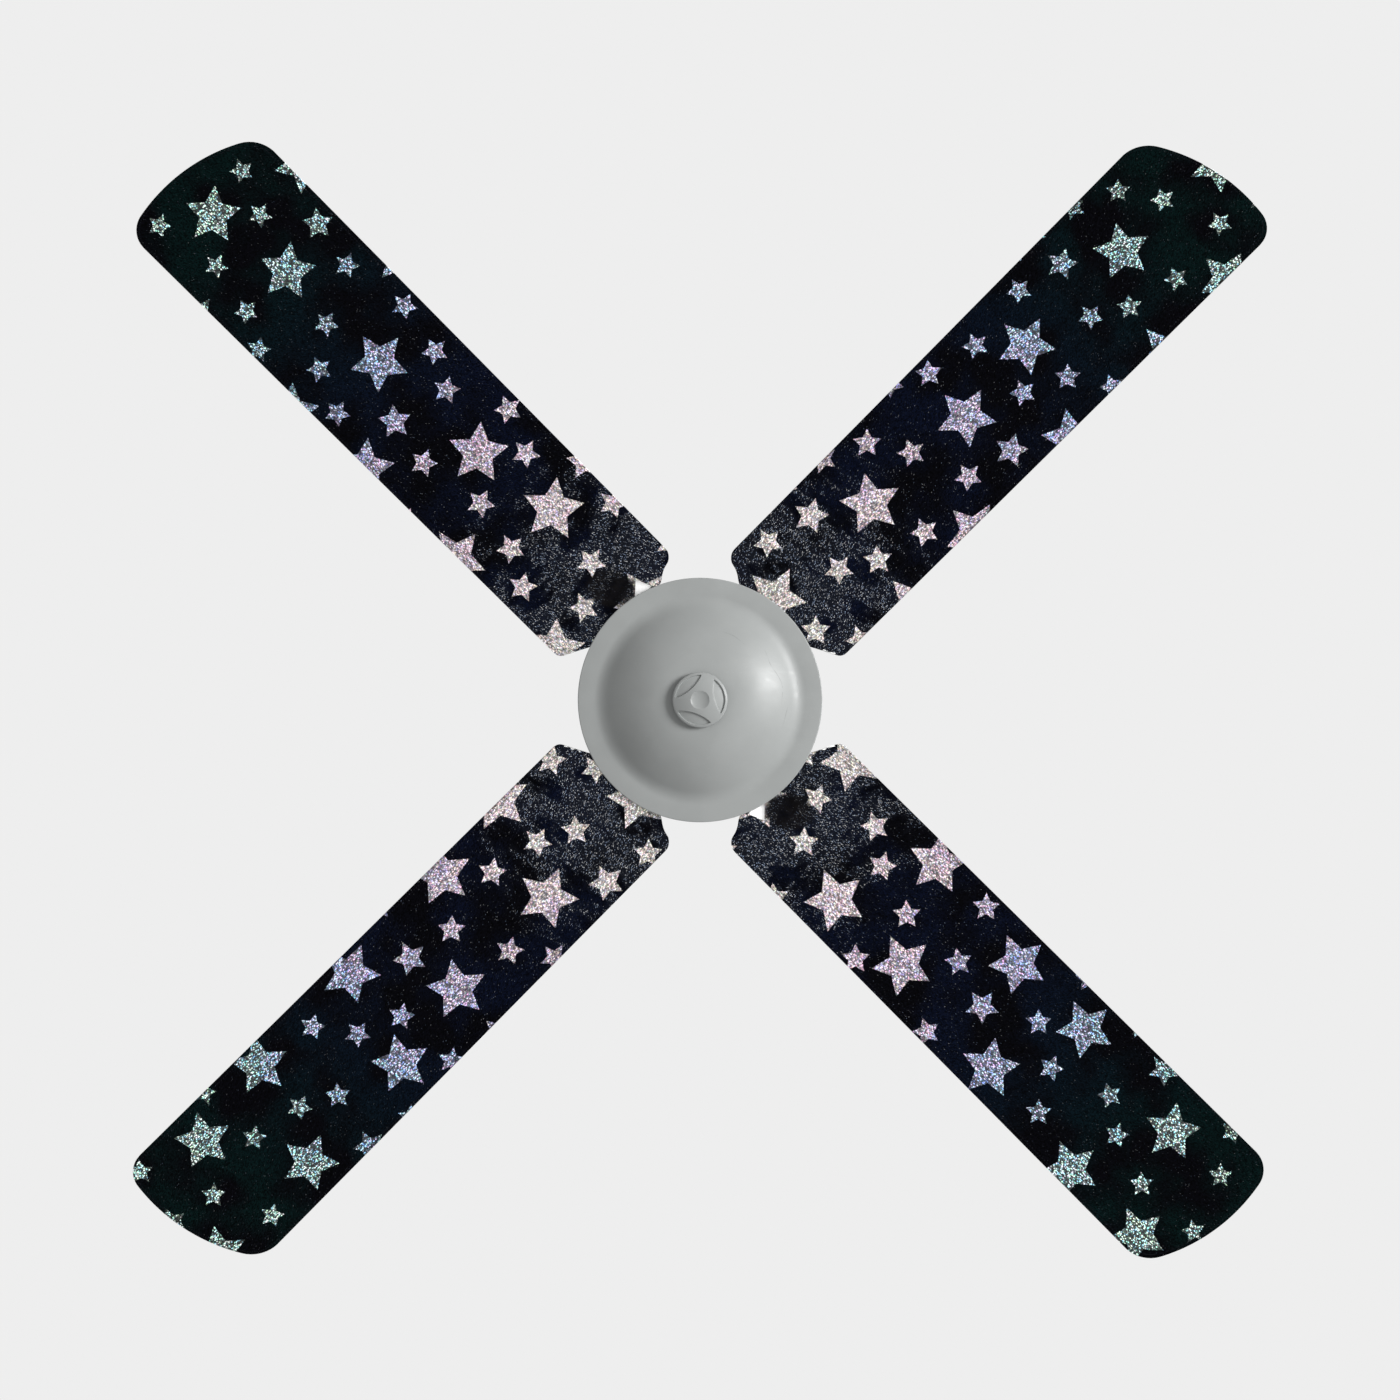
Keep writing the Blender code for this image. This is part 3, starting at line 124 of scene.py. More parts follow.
# Print on the cloth, a half-drop repeat in mm of cloth
REPEAT = 288.0
ROW_STEP = (151.0, 78.5)
STAR_NOTCH = 0.5  # inner radius over outer radius
BIG, MEDIUM, SMALL = 24.8, 14.0, 11.2
MOTIF = (
    # along, across, size and turn in degrees
    (0, 0, BIG, 15.5),
    (104, 5, BIG, 56),
    (179.5, -1.5, BIG, 54),
    (33, -37.5, SMALL, 27.5),
    (52.5, -6, SMALL, 8),
    (108.5, -42, SMALL, 21.5),
    (151, -31, SMALL, 4),
    (207.5, -37.5, SMALL, 68.5),
    (247, -28, MEDIUM, 42),
    (150, 24, SMALL, 6.5),
    (232, 19.5, SMALL, 61.5),
)
# Where the first star of the motif lies on each arm's sleeve (reach and across in mm), and how far the
# cloth was turned when that sleeve was cut.
CLOTH_CUTS = ((517.4, -23.2, 3.9), (200.5, -25.5, -3.1), (376.4, 11.0, -3.25), (210, -14.0, -0.1))

# Colours as screen values: the foil's painted reflection from root to tip, which stands for the foil's
# colour shift with viewing angle and is palest near the root as a painted highlight, and the hues of its
# single flakes
PAINTED_FOIL_REFLECTION = (
    (0.0, (255, 242, 230)),
    (0.14, (252, 220, 228)),
    (0.32, (224, 186, 220)),
    (0.5, (168, 166, 236)),
    (0.68, (134, 172, 232)),
    (0.84, (140, 210, 222)),
    (1.0, (170, 232, 208)),
)
FLAKE_HUES = (
    (0.0, (80, 120, 245)),
    (0.2, (170, 220, 250)),
    (0.4, (255, 252, 246)),
    (0.6, (245, 150, 205)),
    (0.78, (215, 240, 160)),
    (0.9, (90, 225, 215)),
    (1.0, (250, 185, 140)),
)

# Lower cover and knob
COVER_LOW, COVER_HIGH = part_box("lower_cover")
DISC_RADIUS = COVER_HIGH[0]
DISC_TOP = COVER_HIGH[2]
DOME_LOW = COVER_LOW[2]
DISC_FACE = DISC_TOP - 3.5 * MM
DOME_RADIUS = 79 * MM
DOME_FLAT = 24 * MM
DISC_WALL = 1.8 * MM
BOSS_RADIUS = 15 * MM
KNOB_LOW, KNOB_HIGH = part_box("centre_knob")
KNOB_RADIUS = KNOB_HIGH[0]
KNOB_FACE = KNOB_LOW[2]
KNOB_TOP = KNOB_FACE + 8 * MM
STUD_RADIUS = 4 * MM
DIMPLE_RADIUS = 7.5 * MM
DIMPLE_DEPTH = 2 * MM
LENS_RADIUS = 33 * MM
LENS_NEAR = 11.3 * MM
LENS_STEP = 1.6 * MM
LENS_TURN = radians(-11)
KNOB_RIM = 2.2 * MM
KNOB_CROWN = 4.6 * MM  # how much the knob's face falls away towards its edge

# Light scratches on the hub: radius, and the turns where each starts and ends
SCRATCHES = ((66 * MM, -0.75, 0.1), (58 * MM, -1.35, -0.85), (71 * MM, 0.0, 0.35))

# Camera
VIEW_WIDTH = 1133 * MM  # what the picture spans at the blades
CAMERA_DISTANCE = 3.5
SENSOR = 36  # mm


def screen(red, green, blue):
    """A colour given as 0 to 255 screen values, in linear light."""
    values = []
    for level in (red, green, blue):
        share = level / 255
        values.append(share / 12.92 if share <= 0.04045 else ((share + 0.055) / 1.055) ** 2.4)
    return tuple(values)


def times(colour, factor):
    return tuple(min(1.0, channel * factor) for channel in colour)


def smooth_step(value, low, high):
    share = np.clip((value - low) / (high - low), 0.0, 1.0)
    return share * share * (3 - 2 * share)


# ---- node trees


class Nodes:
    """A shader node tree, of a material or on its own, that is put together by plain calls."""

    def __init__(self, tree, material=None):
        self.tree = tree
        self.material = material
        self.place = None  # where textures sit; the object's own coordinates unless set

    def feed(self, socket, value):
        if isinstance(value, bpy.types.NodeSocket):
            self.tree.links.new(value, socket)
        elif socket.type == "RGBA" and len(value) == 3:
            socket.default_value = (*value, 1)
        else:
            socket.default_value = value

    def node(self, kind, inputs=None, **settings):
        item = self.tree.nodes.new("ShaderNode" + kind)
        for name, value in settings.items():
            setattr(item, name, value)
        for name, value in (inputs or {}).items():
            self.feed(item.inputs[name], value)
        return item

    def math(self, operation, *values):
        return self.node("Math", dict(enumerate(values)), operation=operation).outputs[0]

    def times(self, *values):
        return reduce(lambda so_far, value: self.math("MULTIPLY", so_far, value), values)

    def plus(self, first, second):
        return self.math("ADD", first, second)

    def minus(self, first, second):
        return self.math("SUBTRACT", first, second)

    def length(self, first, second):
        return self.math("SQRT", self.plus(self.times(first, first), self.times(second, second)))

    def wave(self, value, length):
        """A sine, -1 to 1, that repeats after a length."""
        return self.math("SINE", self.times(value, tau / length))

    def coordinates(self):
        if self.place is None:
            self.place = self.node("TexCoord").outputs["Object"]
        return self.place

    def vector(self, operation, first, second):
        return self.node("VectorMath", {0: first, 1: second}, operation=operation).outputs[0]

    def stretched(self, scale, vector=None):
        """Coordinates scaled unevenly, for grain that runs one way."""
        return self.vector("MULTIPLY", vector or self.coordinates(), scale)

    def apart(self, vector=None):
        return self.node("SeparateXYZ", {0: vector or self.coordinates()}).outputs

    def noise(self, size, detail=3.0, rough=0.55, vector=None):
        """Noise from 0 to 1 whose features are about size across."""
        vector = vector or self.coordinates()
        inputs = {"Vector": vector, "Scale": 1 / size, "Detail": detail, "Roughness": rough}
        return self.node("TexNoise", inputs).outputs[0]

    def cells(self, size, vector=None):
        inputs = {"Vector": vector or self.coordinates(), "Scale": 1 / size}
        return self.node("TexVoronoi", inputs).outputs

    def picks(self, cells):
        """Three random numbers for each cell."""
        return self.node("SeparateColor", {0: cells["Color"]}).outputs

    def between(self, value, low, high, start=0.0, end=1.0):
        """Carries a value from one range to another, smoothly and clamped."""
        inputs = {"Value": value, "From Min": low, "From Max": high, "To Min": start, "To Max": end}
        return self.node("MapRange", inputs, interpolation_type="SMOOTHSTEP").outputs[0]

    def fade(self, value, low, high):
        return self.between(value, low, high, 1.0, 0.0)

    def graded(self, share, start, end):
        return self.between(share, 0.0, 1.0, start, end)

    def cloud(self, size, detail, low, high, start=0.0, end=1.0, vector=None):
        """Noise, with its values from low to high carried to start to end."""
        return self.between(self.noise(size, detail, vector=vector), low, high, start, end)

    def blend(self, share, first, second, mode="MIX"):
        mixer = self.node("Mix", {0: share}, data_type="RGBA", blend_type=mode)
        self.feed(mixer.inputs[6], first)
        self.feed(mixer.inputs[7], second)
        return mixer.outputs[2]

    def dimmed(self, colour, level):
        grey = self.node("CombineColor", {0: level, 1: level, 2: level}).outputs[0]
        return self.blend(1.0, colour, grey, "MULTIPLY")

    def ramp(self, value, stops):
        """Colours along a value. Each stop has its position and its screen values."""
        item = self.node("ValToRGB", {0: value})
        points = item.color_ramp.elements
        while len(points) < len(stops):
            points.new(0.5)
        for point, (position, colour) in zip(points, stops):
            point.position = position
            point.color = (*screen(*colour), 1)
        return item.outputs[0]

    def bump(self, height, depth, under=None):
        inputs = {"Height": height, "Distance": depth, "Strength": 1.0}
        if under is not None:
            inputs["Normal"] = under
        return self.node("Bump", inputs).outputs[0]

    def attribute(self, name):
        return self.node("Attribute", attribute_name=name).outputs["Fac"]

    def finish(self, **inputs):
        shader = self.tree.nodes["Principled BSDF"]
        for name, value in inputs.items():
            self.feed(shader.inputs[name.replace("_", " ")], value)
        return self.material


def new_material(name):
    material = bpy.data.materials.new(name)
    material.use_nodes = True
    return Nodes(material.node_tree, material)


# ---- hard materials


def from_axis(n):
    apart = n.apart()
    return n.length(apart[0], apart[1])


def scratch(n, radius, start, end, wander):
    """0 to 1 along a thin arc round the spin axis, from one turn to another, that wanders a little."""
    apart = n.apart()
    turn = n.math("ARCTAN2", apart[1], apart[0])
    drift = n.times(n.minus(n.noise(40 * MM, 1), 0.5), wander)
    off = n.math("ABSOLUTE", n.minus(from_axis(n), n.plus(drift, radius)))
    ends = n.times(n.between(turn, start, start + 0.2), n.fade(turn, end - 0.2, end))
    return n.times(n.fade(off, 0.1 * MM, 0.45 * MM), ends, n.cloud(5 * MM, 2, 0.35, 0.6))


def grey_plastic(name, colour, roughness, scuffs=0.5, peel=1.6 * MM, scratched=False):
    """Painted moulding: faint orange peel, mottling, specks of dust and a few hairline scuffs."""
    n = new_material(name)
    base = n.blend(n.cloud(45 * MM, 4, 0.35, 0.65), times(colour, 0.965), times(colour, 1.03))
    speck = n.fade(n.cells(3.2 * MM)["Distance"], 0.05, 0.1)
    speck = n.times(speck, n.cloud(11 * MM, 2, 0.6, 0.64), 0.4)
    base = n.blend(speck, base, times(colour, 0.5))
    streaks = n.noise(26 * MM, 1.5, vector=n.stretched((1.0, 9, 5)))
    hairline = n.fade(n.math("ABSOLUTE", n.minus(streaks, 0.56)), 0.0, 0.0035)
    hairline = n.times(hairline, n.cloud(50 * MM, 1, 0.52, 0.6))
    base = n.blend(n.times(hairline, 0.35 * scuffs), base, times(colour, 1.5))
    rough = n.cloud(25 * MM, 3, 0.3, 0.7, roughness - 0.04, roughness + 0.05)
    if scratched:
        for radius, start, end in SCRATCHES:
            cut = scratch(n, radius, start, end, 14 * MM)
            base = n.blend(n.times(cut, 0.5), base, times(colour, 0.5))
            hairline = n.math("MAXIMUM", hairline, cut)
        rub = n.cloud(16 * MM, 4, 0.5, 0.72, vector=n.stretched((1, 2.4, 1)))
        rough = n.minus(rough, n.times(rub, 0.1))
    skin = n.bump(n.noise(peel, 2), 0.02 * MM)
    return n.finish(Base_Color=base, Roughness=rough, Normal=n.bump(hairline, -0.01 * MM, skin))


def metal(name, colour, roughness, grain=(1, 1, 14), pitted=0.3):
    """Plated or turned metal: grain that runs one way, cloudy tarnish and small pits."""
    n = new_material(name)
    base = n.blend(n.cloud(14 * MM, 4, 0.35, 0.7), times(colour, 0.78), colour)
    pit = n.fade(n.cells(2.4 * MM)["Distance"], 0.04, 0.12)
    base = n.blend(n.times(pit, pitted), base, times(colour, 0.4))
    lines = n.noise(6 * MM, 3, vector=n.stretched(grain))
    rough = n.between(lines, 0.3, 0.7, roughness - 0.08, roughness + 0.1)
    skin = n.bump(lines, 0.02 * MM, n.bump(pit, -0.02 * MM))
    return n.finish(Base_Color=base, Metallic=0.95, Roughness=rough, Normal=skin)


def cast_metal(name, colour, roughness, metallic):
    """Cast and painted metal: a sandy skin with dust in its hollows."""
    n = new_material(name)
    cloud = n.cloud(22 * MM, 4, 0.3, 0.7)
    base = n.blend(cloud, times(colour, 0.86), colour)
    base = n.blend(n.cloud(8 * MM, 5, 0.55, 0.75, 0, 0.25), base, times(colour, 1.3))
    rough = n.graded(cloud, roughness - 0.06, roughness + 0.08)
    skin = n.bump(n.noise(0.9 * MM, 3), 0.06 * MM)
    return n.finish(Base_Color=base, Metallic=metallic, Roughness=rough, Normal=skin)


def moulded(name, colour, roughness):
    """Plain moulded or extruded plastic and rubber, with a fine spark-eroded grain."""
    n = new_material(name)
    cloud = n.cloud(9 * MM, 4, 0.3, 0.7)
    base = n.blend(cloud, times(colour, 0.85), times(colour, 1.08))
    rough = n.graded(cloud, roughness - 0.06, roughness + 0.08)
    return n.finish(Base_Color=base, Roughness=rough, Normal=n.bump(n.noise(0.7 * MM, 2), 0.04 * MM))


def wound_wire(name, colour):
    """Varnished copper wire: fine turns that run round the spin axis, each darkened towards the grooves
    beside it as painted shade.
    """
    n = new_material(name)
    turns = n.wave(n.plus(from_axis(n), n.apart()[2]), 1.1 * MM)
    # Painted shade: each turn darkens towards the grooves beside it.
    base = n.blend(n.between(turns, -1.0, 1.0), times(colour, 0.35), colour)
    base = n.blend(n.cloud(7 * MM, 3, 0.4, 0.7, 0, 0.4), base, times(colour, 0.3))
    return n.finish(Base_Color=base, Metallic=0.7, Roughness=0.32, Normal=n.bump(turns, 0.2 * MM))


def laminations(name, colour):
    """Edges of thin stacked plates, with a little rust."""
    n = new_material(name)
    plates = n.wave(n.apart()[2], 0.7 * MM)
    base = n.blend(n.between(plates, -0.4, 0.4), times(colour, 0.5), colour)
    base = n.blend(n.cloud(12 * MM, 4, 0.55, 0.75, 0, 0.5), base, screen(120, 78, 52))
    return n.finish(Base_Color=base, Metallic=0.8, Roughness=0.42, Normal=n.bump(plates, 0.1 * MM))


def sealed_board(name, colour):
    """White-sealed fibre board: long faint grain and a speckled skin."""
    n = new_material(name)
    fleck = n.noise(1.5 * MM, 2)
    grain = n.cloud(30 * MM, 5, 0.3, 0.7, vector=n.stretched((1, 1, 3)))
    base = n.blend(grain, times(colour, 0.93), colour)
    base = n.blend(n.between(fleck, 0.6, 0.75, 0, 0.3), base, times(colour, 0.75))
    return n.finish(Base_Color=base, Roughness=0.5, Normal=n.bump(fleck, 0.05 * MM))


# ---- star cloth


def star_depth(n, place):
    """How deep inside any star of the print a place on the cloth is, in mm; negative between stars."""
    apart = n.apart(place)
    notch = Vector((STAR_NOTCH * cos(pi / 5), STAR_NOTCH * sin(pi / 5)))
    normal = Vector((notch.y, 1 - notch.x)).normalized()
    deepest = -1000.0
    for star_along, star_across, size, star_turn in MOTIF:
        # Bring the place to the repeat that is nearest to this star.
        across = n.minus(apart[1], star_across)
        row = n.math("ROUND", n.math("DIVIDE", across, ROW_STEP[1]))
        across = n.minus(across, n.times(row, ROW_STEP[1]))
        along = n.minus(n.minus(apart[0], star_along), n.times(row, ROW_STEP[0]))
        column = n.math("ROUND", n.math("DIVIDE", along, REPEAT))
        along = n.minus(along, n.times(column, REPEAT))
        # Fold the star's ten half-points onto one, whose edge is a straight line.
        turn = n.minus(n.math("ARCTAN2", across, along), radians(star_turn))
        folded = n.math("ABSOLUTE", n.math("WRAP", turn, pi / 5, -pi / 5))
        facing = n.math("COSINE", n.minus(folded, atan2(normal.y, normal.x)))
        depth = n.minus(size * normal.x, n.times(n.length(along, across), facing))
        deepest = n.math("MAXIMUM", deepest, depth)
    return deepest


def foil_look(n, reach):
    """Foil: flakes whose colour drifts from cream near the root over lavender and blue to pale green, a
    painted reflection of the foil's shift with viewing angle that is palest near the root as a painted
    highlight.
    """

    def outwards(at_root, at_tip):
        return n.between(reach, 0.1, 0.56, at_root, at_tip)

    drift = n.plus(reach, n.times(n.minus(n.noise(26, 2), 0.5), 0.22))
    # Painted reflection: the foil's colour shift with viewing angle, put into the colour as a fixed drift
    # from root to tip.
    painted_reflection_tint = n.ramp(n.between(drift, 0.08, 0.6), PAINTED_FOIL_REFLECTION)
    flake = n.cells(1.2, n.stretched((0.8, 1.2, 1)))
    pick = n.picks(flake)
    flakes = n.blend(n.between(reach, 0.1, 0.3, 0.34, 0.45), painted_reflection_tint, n.ramp(pick[0], FLAKE_HUES))
    level = n.math("POWER", n.graded(pick[1], 0.0, 1.0), outwards(0.8, 1.7))
    level = n.between(level, 0.0, 0.9, outwards(0.42, 0.04), outwards(1.7, 2.2))
    level = n.times(level, n.cloud(2.6, 2, 0.34, 0.6, 0.5, 1.06))
    gaps = n.between(flake["Distance"], 0.3, 0.68, 1.0, n.between(reach, 0.15, 0.5, 0.42, 0.05))
    return n.dimmed(flakes, n.times(level, gaps, outwards(0.94, 1.28))), flake


def glitter_look(n, reach):
    """Black with loose glitter whose bright flecks are painted glints, gathered in painted sheen bands near
    the root that also lighten the black, and finer and dimmer flecks further out.
    """
    near_root = n.fade(reach, 0.1, 0.27)
    # Painted sheen: soft lighter bands near the root, where the glitter also glints most.
    sheen_bands = n.noise(17, 2.5, 0.6, n.stretched((1.0, 0.45, 1)))
    patch = n.between(n.plus(sheen_bands, n.times(near_root, 0.14)), 0.5, 0.62)
    patch = n.times(patch, n.between(reach, 0.14, 0.28, 1.0, 0.15))
    slanted = n.node("VectorRotate", {"Vector": n.place, "Angle": 0.4}).outputs[0]
    glint = n.cells(0.72, n.stretched((0.6, 1.5, 1), slanted))
    chance = n.picks(glint)
    # Painted glints: the glitter's bright flecks are put into the colour.
    glitter = n.math("GREATER_THAN", chance[0], n.graded(patch, 0.95, 0.7))
    glitter = n.times(glitter, n.fade(glint["Distance"], 0.2, 0.6))
    strength = n.math("POWER", chance[1], n.graded(patch, 2.0, 1.0))
    glitter = n.times(glitter, n.graded(strength, 0.1, 1.0), n.graded(patch, 0.25, 1.0))
    glitter = n.times(glitter, n.graded(n.between(reach, 0.3, 0.42), 1.0, 0.45))
    far = n.blend(n.between(reach, 0.3, 0.56), screen(6, 10, 24), screen(4, 17, 17))
    black = n.blend(n.cloud(60, 2, 0.4, 0.62), screen(4, 4, 7), far)
    black = n.dimmed(black, n.graded(chance[2], 0.25, 2.1))
    # Painted sheen: the black is lightened to a grey-blue in the bands near the root.
    black = n.blend(n.times(patch, near_root, 0.6), black, screen(29, 32, 40))
    return n.blend(glitter, black, n.blend(chance[2], screen(170, 192, 228), screen(255, 255, 255)))


def star_cloth():
    """Black stretch cloth with foil stars and loose glitter. Its print coordinates are in mm."""
    n = new_material("star_cloth")
    n.place = n.node("UVMap", uv_map="print").outputs[0]
    reach = n.attribute("reach")
    torn = n.times(n.minus(n.noise(14, 3), 0.5), 0.7)
    facing = n.between(n.plus(n.attribute("facing"), torn), 0.25, 0.95)

    # The stars' edges are a little ragged. Stars grow near the root, and there are none on the plain facing.
    wobble = n.node("TexNoise", {"Vector": n.place, "Scale": 0.7, "Detail": 2.0}).outputs["Color"]
    wobble = n.stretched((0.9,) * 3, n.vector("SUBTRACT", wobble, (0.5,) * 3))
    depth = star_depth(n, n.vector("ADD", n.place, wobble))
    depth = n.plus(depth, n.between(reach, 0.1, 0.58, 0.5, -0.5))
    foil = n.times(n.between(depth, -0.25, 0.25), n.minus(1.0, facing))

    # Knit, and a row of stitches inside every sewn edge.
    apart = n.apart()
    knit = n.times(n.wave(apart[0], 0.9), n.wave(apart[1], 0.7))
    stitch = n.wave(n.plus(apart[0], apart[1]), 2.6)
    row = n.fade(n.math("ABSOLUTE", n.minus(n.attribute("seam"), 2.6 * MM)), 0.15 * MM, 0.5 * MM)
    thread = n.times(row, n.between(stitch, -0.3, 0.2))

    plain = n.blend(n.cloud(9, 3, 0.3, 0.7), screen(10, 9, 9), screen(24, 22, 21))
    ground = n.blend(n.times(facing, 0.7), glitter_look(n, reach), plain)
    ground = n.blend(n.times(thread, 0.6), ground, screen(30, 31, 36))
    foil_colour, flake = foil_look(n, reach)
    skin = n.bump(knit, 0.05 * MM)
    skin = n.bump(flake["Distance"], n.times(foil, 0.12 * MM), skin)
    skin = n.bump(thread, 0.25 * MM, skin)
    skin = n.bump(row, -0.25 * MM, skin)
    return n.finish(
        Base_Color=n.blend(foil, ground, foil_colour),
        Metallic=n.times(foil, 0.25),
        Roughness=n.graded(foil, 0.85, 0.38),
        Specular_IOR_Level=n.graded(foil, 0.03, 0.5),
        Normal=skin,
    )


# ---- mesh helpers


def new_object(name, data):
    """Puts data in the scene as an object."""
    obj = bpy.data.objects.new(name, data)
    bpy.context.scene.collection.objects.link(obj)
    return obj


def add_mesh(name, bm, material, smooth_angle=None):
    mesh = bpy.data.meshes.new(name)
    bmesh.ops.recalc_face_normals(bm, faces=bm.faces)
    bm.to_mesh(mesh)
    bm.free()
    mesh.shade_smooth()
    if smooth_angle:
        mesh.set_sharp_from_angle(angle=radians(smooth_angle))
    mesh.materials.append(material)
    return new_object(name, mesh)


def stand_in(piece, body, node):
    """Puts a piece in a CAD node's place: on its body, with the node hidden."""
    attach(piece, body)
    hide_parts(node)


def rounded(outline, radius):
    """Replaces each corner of a closed (radius, height) outline by a small arc."""
    points = []
    for index, corner in enumerate(outline):
        here = Vector(corner)
        before = Vector(outline[index - 1]) - here
        after = Vector(outline[(index + 1) % len(outline)]) - here
        bend = before.angle(after, pi)
        if bend > radians(158) or here.x < 0.01 * MM:
            points.append(here)
            continue
        trim = min(radius, before.length * 0.4, after.length * 0.4)
        start = here + before.normalized() * trim
        end = here + after.normalized() * trim
        for share in (0, 1 / 3, 2 / 3, 1):
            points.append(start.lerp(here, share).lerp(here.lerp(end, share), share))
    return points


def turned(name, outline, material, segments, closed=True, relief=None):
    """An outline turned round the spin axis. relief(radius, turn, height) gives a point's new height."""
    bm = bmesh.new()
    rings = []
    for radius, height in outline:
        if radius < 0.01 * MM:
            rings.append([bm.verts.new((0, 0, height))])
            continue
        ring = []
        for k in range(segments):
            turn = tau * k / segments
            level = relief(radius, turn, height) if relief else height
            ring.append(bm.verts.new((radius * cos(turn), radius * sin(turn), level)))
        rings.append(ring)
    pairs = list(zip(rings, rings[1:]))
    if closed:
        pairs.append((rings[-1], rings[0]))
    for one, other in pairs:
        for k in range(segments):
            follow = (k + 1) % segments
            around = ((one, k), (one, follow), (other, follow), (other, k))
            corners = list(dict.fromkeys(ring[place % len(ring)] for ring, place in around))
            if len(corners) > 2:
                bm.faces.new(corners)
    return add_mesh(name, bm, material, 38)


# ---- sleeves


def side_half_width(reach):
    share = (reach - WIDTH_PLACES[0]) / (WIDTH_PLACES[1] - WIDTH_PLACES[0])
    return HALF_WIDTHS[0] + (HALF_WIDTHS[1] - HALF_WIDTHS[0]) * share


def end_reach(across, middle, radius, corners, direction, half_width):
    """Where the outline's end arc lies along the arm. corners holds the rounding at each side (-1 and 1)."""
    for side, corner in corners.items():
        corner_across = side * (half_width - corner)
        inner = radius - corner
        corner_reach = middle[0] + direction * sqrt(inner**2 - (corner_across - middle[1]) ** 2)
        touch = middle[1] + (corner_across - middle[1]) * radius / inner
        if side * (across - touch) > 0:
            depth = max(0.0, corner**2 - (across - corner_across) ** 2)
            return corner_reach + direction * sqrt(depth)
    return middle[0] + direction * sqrt(radius**2 - (across - middle[1]) ** 2)


def hem_wave(across):
    """How much further out the gathered hem lies: pulled back on one side, in soft lobes on the other."""
    if across > 0:
        return 4.5 * MM * float(smooth_step(across, 16 * MM, 50 * MM))
    lobe = exp(-(((across + 40 * MM) / (4.5 * MM)) ** 2))
    corner = exp(-(((across + 57 * MM) / (4 * MM)) ** 2))
    return (0.6 - 2.0 * lobe - 1.6 * corner) * MM


def root_reach(beside, hand):
    """Where the hem lies at a distance beside the blade's middle line."""
    half_width = side_half_width(ROOT_REACH + 20 * MM)
    corners = {-1: ROOT_CORNER, 1: ROOT_CORNER}
    plain = end_reach(beside, (ROOT_REACH + ROOT_ARC, 0), ROOT_ARC, corners, -1, half_width)
    return plain + hem_wave(beside * hand)


def tip_reach(across, hand):
    corners = {-hand: TIP_LONG_CORNER, hand: TIP_SHORT_CORNER}
    middle = (SWEEP - TIP_ARC, hand * TIP_OFFSET)
    return end_reach(across, middle, TIP_ARC, corners, 1, side_half_width(SWEEP - 30 * MM))


def line_ends(share, hand):
    """Both ends along the arm of the lengthwise line at a share (-1 to 1) of the half width."""
    start, end = ROOT_REACH, SWEEP
    for _ in range(6):
        start = root_reach(share * side_half_width(start), hand)
        end = tip_reach(share * side_half_width(end), hand)
    return start, end


def across_shares():
    """Shares of the half width: close rows near both sewn sides, with one row at the hem's gap."""
    near = [1 - row * MM / HALF_WIDTHS[0] for row in EDGE_ROWS]
    count = 38
    middle = [near[-1] * (1 - 2 * k / count) for k in range(1, count)]
    shares = near + middle + [-share for share in reversed(near)]
    gap = (NOTCH_ACROSS + BLADE_OFFSET) / side_half_width(NOTCH_REACH)
    for target in (gap, -gap):
        nearest = min(range(len(shares)), key=lambda k: abs(shares[k] - target))
        shares[nearest] = target
    return sorted(shares)


def notch_start(across, start):
    """The under sheet's hem at the gap: a V whose steep side faces the blade's edge."""
    from_middle = across - NOTCH_ACROSS
    slope = 2.5 if from_middle > 0 else 0.95
    return max(start, NOTCH_REACH - slope * abs(from_middle))


def along_line(start, end):
    """Reaches along one line: close rows at both ends and closer spacing near the root."""
    first = [start + row * MM for row in EDGE_ROWS]
    last = [end - row * MM for row in reversed(EDGE_ROWS)]
    span = last[0] - first[-1]
    shares = [k / 118 for k in range(1, 118)]
    return first + [first[-1] + span * (0.6 * share + 0.4 * share * share) for share in shares] + last


def palm_shape(reach, across):
    """0 to 1: where the cloth is lifted by the bracket's palm and its rivets."""
    beyond_end = smooth_step(reach, PALM_END + 18 * MM, PALM_END + 2 * MM)
    beyond_side = smooth_step(abs(across), PALM_HALF_WIDTH + 22 * MM, PALM_HALF_WIDTH + 3 * MM)
    return beyond_end * beyond_side


def seam_distance(points, rim):
    """Distance of each point to the nearest stretch between neighbouring points of the sewn edge."""
    nearest = np.full(len(points), 1.0)
    for one, other in zip(rim, rim[1:]):
        along = other - one
        length = max(float(along @ along), 1e-12)
        share = np.clip(((points - one) @ along) / length, 0, 1)
        foot = one + share[:, None] * along
        nearest = np.minimum(nearest, np.linalg.norm(points - foot, axis=1))
    return nearest


